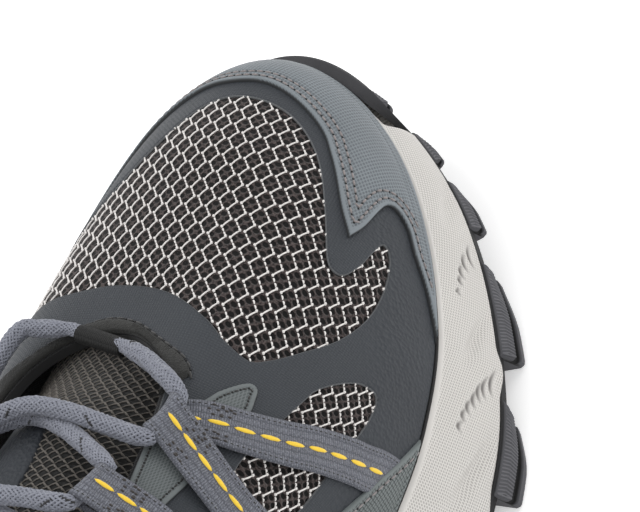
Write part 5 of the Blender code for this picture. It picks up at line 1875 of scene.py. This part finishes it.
def makeLace():
    route = laceRoute()
    path = evenPath(throughPoints(route, [0] * len(route), 1.0, False), braidForm["step"])
    frames = transportFrames(path)
    run = np.arange(len(path)) * braidForm["step"]
    radius = laceForm["diameter"] / 2 - braidForm["strandRadius"] - braidForm["weave"]
    coreSides = braidForm["coreSides"]
    angles = np.arange(coreSides) * 2 * math.pi / coreSides
    pinch = lacePinch(path)
    circle = np.cos(angles)[:, None] * frames[:, None, 0] + np.sin(angles)[:, None] * frames[:, None, 1]
    rings = path[:, None] + circle * (radius * pinch)[:, None, None]
    faces = ringFaces(len(rings), coreSides, False)
    core = addMesh("laceCore", np.concatenate(rings), faces, [finishes["laceCore"]])
    finishPiece(core, "cord", "lace")
    plain, plainThick, dark, darkThick = [], [], [], []
    half = braidForm["strands"] // 2
    for strand in range(braidForm["strands"]):
        way = 1 if strand < half else -1
        start = (strand % half) * 2 * math.pi / half
        angle = start + way * 2 * math.pi * run / braidForm["turnLength"]
        phase = half * (2 * math.pi * run / braidForm["turnLength"])
        phase = phase + (0 if way > 0 else math.pi) + strand % half * math.pi
        reach = (radius + braidForm["clear"] + braidForm["weave"] * np.cos(phase)) * pinch
        turned = np.cos(angle)[:, None] * frames[:, 0] + np.sin(angle)[:, None] * frames[:, 1]
        line = path + reach[:, None] * turned
        fleck = np.zeros(len(run), bool)
        if strand in (0, half):
            place = run + strand * braidForm["tracerShift"]
            fleck = np.mod(place, braidForm["tracerEvery"]) < braidForm["tracerLength"]
        cuts = np.flatnonzero(np.diff(fleck.astype(int))) + 1
        for part in np.split(np.arange(len(run)), cuts):
            if len(part) < 2:
                continue
            grown = np.arange(part[0], min(part[-1] + 2, len(run)))
            target, fat = (dark, darkThick) if fleck[part[0]] else (plain, plainThick)
            target.append(line[grown])
            fat.append(pinch[grown])
    strandRadius = braidForm["strandRadius"]
    strands = makeThreads("laceStrands", plain, plainThick, strandRadius, 4, finishes["laceYarn"])
    finishPiece(strands, "cord")
    tracerRadius = strandRadius * braidForm["tracerFat"]
    tracers = makeThreads("laceTracers", dark, darkThick, tracerRadius, 5, finishes["tracerYarn"])
    finishPiece(tracers, "cord")
    return run[-1]


laceLength = makeLace()
print("lace ready:", round(laceLength), "mm")


# Keeper: a ribbed loop over the front bar of the lace
keeperForm = {
    "width": 14.5,
    "thick": 0.5,
    "room": 0.05,
    "shift": -1.3,               # along the bar
    "turn": (-50, 215, 24),      # degrees round the lace, from its front
}


def makeKeeper():
    before, middle, after = np.array(laceForm["bar"])[laceForm["keeperBar"] - 1:laceForm["keeperBar"] + 2]
    front = unit(np.cross(after - before, (0.0, 0.0, 1.0)))
    lift = unit(np.cross(front, after - before))
    squeezed = laceForm["diameter"] / 2 * laceForm["keeperSquash"]
    radius = squeezed + keeperForm["room"] + keeperForm["thick"] / 2
    start, end, steps = keeperForm["turn"]
    angles = np.radians(np.linspace(start, end, steps))
    over = np.cos(angles)[:, None] * front + np.sin(angles)[:, None] * lift
    path = middle + unit(after - before) * keeperForm["shift"] + over * radius
    size = keeperForm["width"], keeperForm["thick"]
    piece, _, _ = makeStrip("laceKeeper", path, over, *size, finishes["keeper"])
    finishPiece(piece, "binding", "lace_keeper")


makeKeeper()
print("keeper ready")


# Foot bed: rings as height over the floor and distance in from the wall
bedForm = {"columns": 160, "up": 0.02, "rings": [(0.3, 3.2), (4.2, 3.0), (4.8, 3.6)]}


def makeInsole():
    station = evenStations(bedForm["columns"])
    floor = soleCurve["floor"](footX(station))
    rings = []
    for lift, inset in bedForm["rings"]:
        ring = skin(station, bedForm["up"], -inset)
        ring[:, 2] = floor + lift
        rings.append(ring)
    points = np.concatenate(rings)
    faces = ringFaces(len(rings), len(station), False)
    piece = addMesh("footBed", points, faces, [finishes["footBed"]], {"wall": points[:, :2] / 100})
    return finishPiece(piece, "foot_bed", "insole")


makeInsole()
print("foot bed ready")


# Midsole: foam wall from the outsole's lip up to the bite line, with ridges and gills
midsoleForm = {
    # column steps, closer where there are gills
    "zones": [(0.0, 1.6), (2.9, 0.6), (7.75, 1.6), (12.25, 0.6), (17.1, 1.6), (20.0, 0.0)],
    "rows": 118,
    "rimEdge": 1.2,
    "bulge": 0.8,
    "gapBulge": 1.3,
    "gapFade": (6.9, 7.5),       # no bulge between the foremost lugs
    # soft diagonal ridges: station and share up, start and end, height, half width
    "ridges": [
        ((7.10, 0.18), (6.66, 0.66), -1.5, 1.6),
        ((6.20, 0.12), (5.66, 0.52), -1.7, 1.9),
        ((5.15, 0.12), (4.60, 0.52), -1.7, 1.9),
        ((4.10, 0.12), (3.55, 0.52), -1.7, 1.9),
        ((3.05, 0.12), (2.50, 0.52), -1.7, 1.9),
        ((8.05, 0.15), (7.70, 0.60), -1.0, 1.6),
    ],
    # gills: groups of small crescents as (station, share up, length)
    "gillFront": [
        (7.50, 0.25, 6.4), (7.43, 0.41, 5.2), (7.35, 0.51, 4.0), (7.28, 0.56, 3.0), (7.19, 0.63, 2.0),
    ],
    "gillSide": [
        (6.59, 0.20, 6.6), (6.53, 0.31, 6.0), (6.48, 0.39, 5.4), (6.41, 0.46, 4.8), (6.34, 0.53, 4.2),
        (6.27, 0.58, 3.6), (6.18, 0.61, 3.0),
    ],
    "gillGroups": 4,
    "gillShift": 1.05,
    "gillDepth": 0.65,
    "gillBow": 1.1,
    "gillEdge": (0.25, 0.9),     # how sharply a crescent falls above and below its line
    # painted shade below each gill: where it lies and how wide it falls off
    "shadeDrop": 0.8,            # dark line below a gill, in depths
    "shadeEdge": (0.3, 0.5),
    "plainEdge": 1.1,
    "ridgeFade": (0.1, 0.8),
    "edgeRound": (0.7, 0.06, 0.8, 0.95),    # in and up at the foot, in and from where at the rim
    "reliefFade": (0.08, 0.9),
    "plainRim": (0.92, 0.96),
}
rimShadeForm = {"points": 600, "lift": 0.1, "out": 0.8, "radius": 0.5}
midsoleGills = list(midsoleForm["gillFront"])
for groupNumber in range(midsoleForm["gillGroups"]):
    back = groupNumber * midsoleForm["gillShift"]
    midsoleGills += [(station - back, share, length) for station, share, length in midsoleForm["gillSide"]]


def midsoleRelief(station, share, height):
    folded = np.minimum(station, stations - station)
    run = around(folded)
    up = share * height
    relief = np.zeros_like(run)
    fadeFrom, fadeBy = midsoleForm["ridgeFade"]
    for start, end, tall, half in midsoleForm["ridges"]:
        ax, bx = around(start[0]), around(end[0])
        ay, by = start[1] * height, end[1] * height
        dx, dy = bx - ax, by - ay
        t = np.clip(((run - ax) * dx + (up - ay) * dy) / (dx * dx + dy * dy), 0, 1)
        gap = np.hypot(run - ax - t * dx, up - ay - t * dy)
        relief += tall * np.exp(-(gap / half) ** 2) * np.sin(math.pi * (fadeFrom + fadeBy * t))
    above, below = midsoleForm["gillEdge"]
    cut, deep, plain = (np.zeros_like(run) for _ in range(3))
    for gillStation, gillShare, length in midsoleGills:
        v = (run - around(gillStation)) / (length / 2)
        rise = up - gillShare * height - midsoleForm["gillBow"] * (1 - v ** 2)
        fade = np.clip(1 - v ** 2, 0, 1) ** 0.7
        fall = np.where(rise > 0, np.exp(-(rise / above) ** 2), np.exp(-(rise / below) ** 2))
        cut = np.maximum(cut, fall * fade)
        # painted shade: a dark line just below each gill, where its overhang shades the foam
        under = rise + midsoleForm["gillDepth"] * midsoleForm["shadeDrop"]
        shadeEdge = np.where(under > 0, *midsoleForm["shadeEdge"])
        deep = np.maximum(deep, np.exp(-(under / shadeEdge) ** 2) * fade)
        plain = np.maximum(plain, np.exp(-(under / midsoleForm["plainEdge"]) ** 2) * fade)
    return relief - midsoleForm["gillDepth"] * cut, deep, plain


def midsoleStations():
    spans = zip(midsoleForm["zones"][:-1], midsoleForm["zones"][1:])
    marks = []
    for (start, step), (end, _) in spans:
        first, last = around(start), around(end)
        marks.append(np.linspace(first, last, round((last - first) / step), endpoint=False))
    return stationOf(np.concatenate(marks))


def makeMidsole():
    station = midsoleStations()
    folded = np.minimum(station, stations - station)
    lip = soleCurve["lip"](footX(station))
    bumper = bumperShare(station, soleForm["bumperEarly"])
    gap = lastForm["gap"]
    tray = lip - soleForm["lipInset"] - soleForm["lipWidth"] - gap
    rim = rimUp(station, 0.0)
    free = 1 - smoothStep(*midsoleForm["gapFade"], folded)
    openEdge = lip + midsoleForm["gapBulge"] * spaceShare(station) * free
    toeEdge = soleForm["bumperOut"] - soleForm["bumperWall"] - gap

    def step(x):
        return lipTop(x) + gap

    low = soleRing(station, openEdge * (1 - bumper) + toeEdge * bumper, step)
    high = skin(station, rim, gap + midsoleForm["rimEdge"])
    height = np.linalg.norm(high - low, axis=1)
    normal = np.column_stack((planNormal(station), np.zeros(len(station))))
    rings = [soleRing(station, tray, lambda x: plateTop(x) + gap),
             soleRing(station, np.minimum(tray, toeEdge - 0.2 * bumper), step)]
    shares = np.linspace(0, 1, midsoleForm["rows"])
    levels = [0.0, 0.0]
    none = np.zeros((len(station), 2))
    shades = [none, none]
    footIn, footUp, rimIn, rimFrom = midsoleForm["edgeRound"]
    fadeIn, fadeOut = midsoleForm["reliefFade"]
    for share in shares:
        bulge = midsoleForm["bulge"] * math.sin(math.pi * share) * (1 - bumper)
        edgeRound = -footIn * (1 - smoothStep(0.0, footUp, share)) - rimIn * smoothStep(rimFrom, 1.0, share)
        inner = smoothStep(0.0, fadeIn, share) * (1 - smoothStep(fadeOut, 1.0, share))
        relief, deep, plain = midsoleRelief(station, share, height)
        out = bulge + edgeRound * (1 - bumper) + relief * (1 - bumper) * inner
        rings.append(low + (high - low) * share + normal * out[:, None])
        levels.append(share)
        plain = np.maximum(plain * inner, smoothStep(*midsoleForm["plainRim"], share))
        # the first value is the painted shade below the gills, the second keeps the foam plain
        shades.append(np.column_stack((deep * inner, plain)))
    rings += [skin(station, rim, gap * 0.4), skin(station, rim / 2, gap)]
    corner = skin(station, 0.0, gap)
    corner[:, 2] = soleCurve["floor"](footX(station))
    rings.append(corner)
    levels += [1.0, 0.5, 0.0]
    shades += [none] * 3
    rise = np.concatenate([height * level for level in levels])
    strip = np.column_stack((np.tile(around(station), len(rings)), rise))
    uvs = {"strip": strip, "shade": np.concatenate(shades)}
    faces = ringFaces(len(rings), len(station), False)
    piece = addMesh("midsoleFoam", np.concatenate(rings), faces, [finishes["foam"]], uvs)
    return finishPiece(piece, "foam", "midsole")


# painted shade: a dark cord for the shadow in the sunk gap between the foam and the panels above it
def makeRimGapShade():
    station = evenStations(rimShadeForm["points"])
    path = skin(station, rimUp(station, rimShadeForm["lift"]), rimShadeForm["out"])
    path = np.concatenate((path, path[:1]))
    even = [np.ones(len(path))]
    piece = makeThreads("rimGapShade", [path], even, rimShadeForm["radius"], 6, finishes["holeBlack"])
    return finishPiece(piece, "binding")


makeMidsole()
makeRimGapShade()
print("midsole ready")


# Outsole: tray with its toe bumper, edge lugs with ribbed sides, and inner lugs
outsoleForm = {
    "columns": 640,
    "reach": 13.0,
    "taper": 0.24,
    "trail": -0.5,
    "bite": 1.0,
    "sink": 0.15,
    "crest": 1.2,
    "innerLength": 11.0,
    "innerWidth": 13.0,
    "innerSkew": 5.0,
    "ribPitch": 0.85,
    "ribRadius": 0.25,
    "frontSwell": 0.2,
    "trayShade": 0.55,
    # painted shade: the groove and the band below the foam are darkened to near black
    "shade": {5: 1.0, 6: 1.0, 9: 0.8, 10: 0.8},      # section points in the dark groove and below the foam
    # share along a lug, and how far its end is rounded off there
    "steps": [
        (0.0, 0.8), (0.015, 0.25), (0.05, 0.0), (0.15, 0.0), (0.25, 0.0), (0.35, 0.0), (0.45, 0.0),
        (0.55, 0.0), (0.65, 0.0), (0.75, 0.0), (0.85, 0.0), (0.95, 0.0), (0.985, 0.25), (1.0, 0.8),
    ],
    # section of a lug: line, distance out from it, share of the height
    "section": [
        ("inside", 0.0, 0.0), ("tread", -0.9, 0.0), ("tread", -0.2, 0.045), ("tread", 0.0, 0.12),
        ("tread", -0.05, 0.26), ("tread", -1.2, 0.30), ("belly", -1.3, 0.46), ("belly", 0.0, 0.50),
        ("lip", 0.2, 0.88), ("lip", -0.5, 0.95), ("crest", 0.0, 1.0),
    ],
    "swellSpan": (-0.1, 0.6),
    "treadOut": 0.7,
    "belly": (0.6, 0.5),             # share of the way to the tread, and out from there
    "ribHalves": [(0.0, 0.5, -1.1), (0.5, 1.0, 1.1)],    # start, end and lean of the halves of a rib
    "ribEnds": (0.03, 0.97),
    "ribSink": 0.05,
    "ribThick": (0.8, 1.0, 1.0, 0.8),
    "plateEdge": (1.2, 1.0),
    "topEdge": (0.25, 0.45),         # rounding of the lip, and more on the bumper
    "innerRows": [((40, 57, 74), (-8.5, 8.5)), ((172, 190, 208, 226), (-18, 0, 18)), ((244, 260), (-7, 11))],
    "innerRound": 0.7,
}
lugTop = soleForm["lugDepth"] + soleForm["plate"] + soleForm["lipHeight"] - outsoleForm["sink"]


def makeTray():
    station = evenStations(outsoleForm["columns"])
    lip = soleCurve["lip"](footX(station))
    bumper = bumperShare(station)
    tray = lip - soleForm["lipInset"] - soleForm["lipWidth"]
    side = lip - soleForm["lipInset"]

    bumperTop = soleCurve["rim"](footX(station)) + soleForm["bumperRise"]

    def wallTop(x):
        return lipTop(x) * (1 - bumper) + bumperTop * bumper

    out = side * (1 - bumper) + soleForm["bumperOut"] * bumper
    back = tray * (1 - bumper) + (soleForm["bumperOut"] - soleForm["bumperWall"]) * bumper
    plateIn, plateUp = outsoleForm["plateEdge"]
    foot = soleRing(station, side, lambda x: plateBottom(x) + plateUp)
    rings = [soleRing(station, side - plateIn, plateBottom), foot]
    top = soleRing(station, out, wallTop)
    for share in np.linspace(0.1, 0.9, 9):
        rings.append(foot + (top - foot) * share)
    lipRound, bumperRound = outsoleForm["topEdge"]
    edge = lipRound + bumperRound * bumper
    rings.append(top - np.column_stack((np.zeros((len(station), 2)), edge)))
    inTop = soleRing(station, back, wallTop)
    inward = unit(inTop - top)
    rings.append(top + inward * edge[:, None])
    rings += [inTop, soleRing(station, tray, plateTop)]
    # painted shade: the tray's lip is darkened toward near black, the toe bumper is left as it is
    shade = np.column_stack((outsoleForm["trayShade"] * (1 - bumper), np.zeros(len(station))))
    uvs = {"shade": np.tile(shade, (len(rings), 1))}
    faces = ringFaces(len(rings), len(station), False)
    piece = addMesh("outsoleTray", np.concatenate(rings), faces, [finishes["outsoleRubber"]], uvs)
    return finishPiece(piece, "rubber", "outsole")


# point of an edge lug: share along it from front to rear, distance out and height
def lugPoint(lug, side, share, out, height):
    front, rear, _, sweep = lug
    ends = around(np.array([front, rear]))
    middle = ends.mean()
    t = ends[0] + (ends[1] - ends[0]) * share
    trail = sweep + (outsoleForm["trail"] - sweep) * share
    taper = outsoleForm["taper"] if out < 0 else 0.0
    shifted = t + (middle - t) * taper - trail * (1 - height / lugTop)
    station = onSide(stationOf(np.array([shifted])), side)
    return soleRing(station, [out], lambda x: soleCurve["ground"](x) + height)[0]


# section of an edge lug: tread, lower strip, a deep groove, the ribbed strip and its crest
def lugSection(lug, share):
    front, rear, foot, _ = lug
    t = np.interp(share, (0, 1), around(np.array([front, rear])))
    x = footX(stationOf(np.array([t])))[0]
    lip = float(soleCurve["lip"](x))
    slim = outsoleForm["frontSwell"]
    swell = slim + (1 - slim) * float(smoothStep(*outsoleForm["swellSpan"], share))
    tread = lip + (float(soleCurve["tread"](x)) - lip + outsoleForm["treadOut"]) * swell
    bellyShare, bellyOut = outsoleForm["belly"]
    belly = lip + (tread - lip) * bellyShare + bellyOut * swell
    crest, inner = lip - outsoleForm["crest"], -outsoleForm["reach"]
    lines = {"inside": inner, "tread": tread, "belly": belly, "lip": lip, "crest": crest}
    rows = outsoleForm["section"]
    section = [(lines[line] + out, foot + (lugTop - foot) * level) for line, out, level in rows]
    insidePlate = soleForm["lugDepth"] + outsoleForm["bite"]
    return section + [(crest, insidePlate), (inner, insidePlate)]


def makeLugs():
    points, faces, shades = [], [], []

    def add(block, ring, rings):
        start = len(points)
        points.extend(block)
        for r in range(rings - 1):
            for i in range(ring):
                j = (i + 1) % ring
                low, high = start + r * ring, start + (r + 1) * ring
                faces.append((low + i, low + j, high + j, high + i))
        faces.append(tuple(start + i for i in range(ring)))
        faces.append(tuple(start + (rings - 1) * ring + i for i in range(ring)))

    ribs, thick = [], []
    for lug in soleForm["lugs"]:
        length = abs(float(np.diff(around(np.array(lug[:2])))[0]))
        for side in ("outer", "inner"):
            block = []
            for share, inset in outsoleForm["steps"]:
                section = lugSection(lug, share)
                for k, (out, height) in enumerate(section):
                    edge = inset if 0 < k < len(section) - 2 else 0.0
                    block.append(lugPoint(lug, side, share, out - edge, height))
                    shades.append((outsoleForm["shade"].get(k, 0.0), 0.0))
            add(block, len(section), len(outsoleForm["steps"]))
            count = max(3, int(length / outsoleForm["ribPitch"]))
            for n in range(count):
                for first, last, lean in outsoleForm["ribHalves"]:
                    path = []
                    for k in np.linspace(first, last, len(outsoleForm["ribThick"])):
                        at = (n + 0.5) / count + lean * (k - 0.5) / length
                        low, high = np.array(lugSection(lug, np.clip(at, 0, 1))[7:9])
                        out, height = low + (high - low) * k
                        along = np.clip(at, *outsoleForm["ribEnds"])
                        path.append(lugPoint(lug, side, along, out - outsoleForm["ribSink"], height))
                    ribs.append(np.array(path))
                    thick.append(np.array(outsoleForm["ribThick"]))
    lugs = addMesh("edgeLugs", points, faces, [finishes["lugRubber"]], {"shade": shades}, sharp=30)
    finishPiece(lugs, "rubber")
    ribPiece = makeThreads("lugRibs", ribs, thick, outsoleForm["ribRadius"], 6, finishes["ribRubber"])
    finishPiece(ribPiece, "rubber")


def makeInnerLugs():
    spots = [(x, y) for xs, ys in outsoleForm["innerRows"] for x in xs for y in ys]
    points, faces = [], []
    for x, y in spots:
        skew = -outsoleForm["innerSkew"] if y >= 0 else outsoleForm["innerSkew"]
        start = len(points)
        for height in (0.0, soleForm["lugDepth"] + outsoleForm["bite"]):
            for along, across in ((-1, -1), (1, -1), (1, 1), (-1, 1)):
                px = x + along * outsoleForm["innerLength"] / 2 + across * skew / 2
                py = y + across * outsoleForm["innerWidth"] / 2
                points.append((px, py, float(soleCurve["ground"](px)) + height))
        faces += [(start, start + 1, start + 2, start + 3), (start + 4, start + 7, start + 6, start + 5)]
        faces += [(start + i, start + (i + 1) % 4, start + 4 + (i + 1) % 4, start + 4 + i) for i in range(4)]
    piece = addMesh("innerLugs", points, faces, [finishes["treadRubber"]], sharp=30)
    bevel = piece.modifiers.new("softEdges", "BEVEL")
    bevel.width = outsoleForm["innerRound"] * mm
    bevel.segments = 3
    finishPiece(piece, "rubber")


makeTray()
makeLugs()
makeInnerLugs()
print("outsole ready")


# Stage: pale floor, soft light, camera at the photo's angle
stageForm = {
    "floorSize": 12.0,
    "floorTone": tone(250, 250, 250),
    "floorGlow": 0.35,
    "target": (84.9, -25.6, 50.0),
    "yaw": -38.3,
    "elevation": 46.5,
    "roll": 48.0,
    "distance": 700.0,
    "lens": 170.9,
    "sensor": 36.0,
    "worldLight": 0.8,
    # place, size and power of the lamps
    "lamps": [
        ((0.25, 0.75, 1.15), 0.9, 6.5),
        ((-0.55, -0.85, 1.0), 1.1, 2.6),
        ((1.1, -0.6, 0.8), 0.8, 3.2),
    ],
}


def makeStage():
    half = stageForm["floorSize"] / 2
    mesh = bpy.data.meshes.new("floor")
    corners = [(-half, -half, 0), (half, -half, 0), (half, half, 0), (-half, half, 0)]
    mesh.from_pydata(corners, [], [(0, 1, 2, 3)])
    floorFinish = Finish("floorPale", stageForm["floorTone"], 0.9, specular=0.1)
    floorFinish.shader.inputs["Emission Color"].default_value = (1.0, 1.0, 1.0, 1.0)
    floorFinish.shader.inputs["Emission Strength"].default_value = stageForm["floorGlow"]
    mesh.materials.append(floorFinish.material)
    floor = bpy.data.objects.new("floor", mesh)
    bpy.context.scene.collection.objects.link(floor)
    target = Vector(stageForm["target"]) * mm
    for number, (place, size, power) in enumerate(stageForm["lamps"]):
        lamp = bpy.data.lights.new(f"lamp{number}", "AREA")
        lamp.shape = "DISK"
        lamp.size = size
        lamp.energy = power
        holder = bpy.data.objects.new(f"lamp{number}", lamp)
        holder.location = place
        holder.rotation_euler = (target - Vector(place)).to_track_quat("-Z", "Y").to_euler()
        bpy.context.scene.collection.objects.link(holder)
    world = bpy.context.scene.world or bpy.data.worlds.new("world")
    bpy.context.scene.world = world
    world.use_nodes = True
    background = world.node_tree.nodes["Background"]
    background.inputs["Color"].default_value = (1.0, 1.0, 1.0, 1.0)
    background.inputs["Strength"].default_value = stageForm["worldLight"]
    yaw, elevation, roll = (math.radians(stageForm[key]) for key in ("yaw", "elevation", "roll"))
    level = math.cos(elevation)
    back = Vector((math.sin(yaw) * level, -math.cos(yaw) * level, math.sin(elevation)))
    right = Vector((math.cos(yaw), math.sin(yaw), 0.0))
    rise = back.cross(right)
    imageRight = right * math.cos(roll) - rise * math.sin(roll)
    imageUp = right * math.sin(roll) + rise * math.cos(roll)
    lens = bpy.data.cameras.new("camera")
    lens.lens = stageForm["lens"]
    lens.sensor_width = stageForm["sensor"]
    lens.clip_start = 0.01
    camera = bpy.data.objects.new("camera", lens)
    camera.matrix_world = Matrix((
        (imageRight.x, imageUp.x, back.x, 0), (imageRight.y, imageUp.y, back.y, 0),
        (imageRight.z, imageUp.z, back.z, 0), (0, 0, 0, 1),
    ))
    camera.location = target + back * stageForm["distance"] * mm
    bpy.context.scene.collection.objects.link(camera)
    bpy.context.scene.camera = camera
    bpy.context.scene.view_settings.view_transform = "Standard"


makeStage()
print("stage ready")
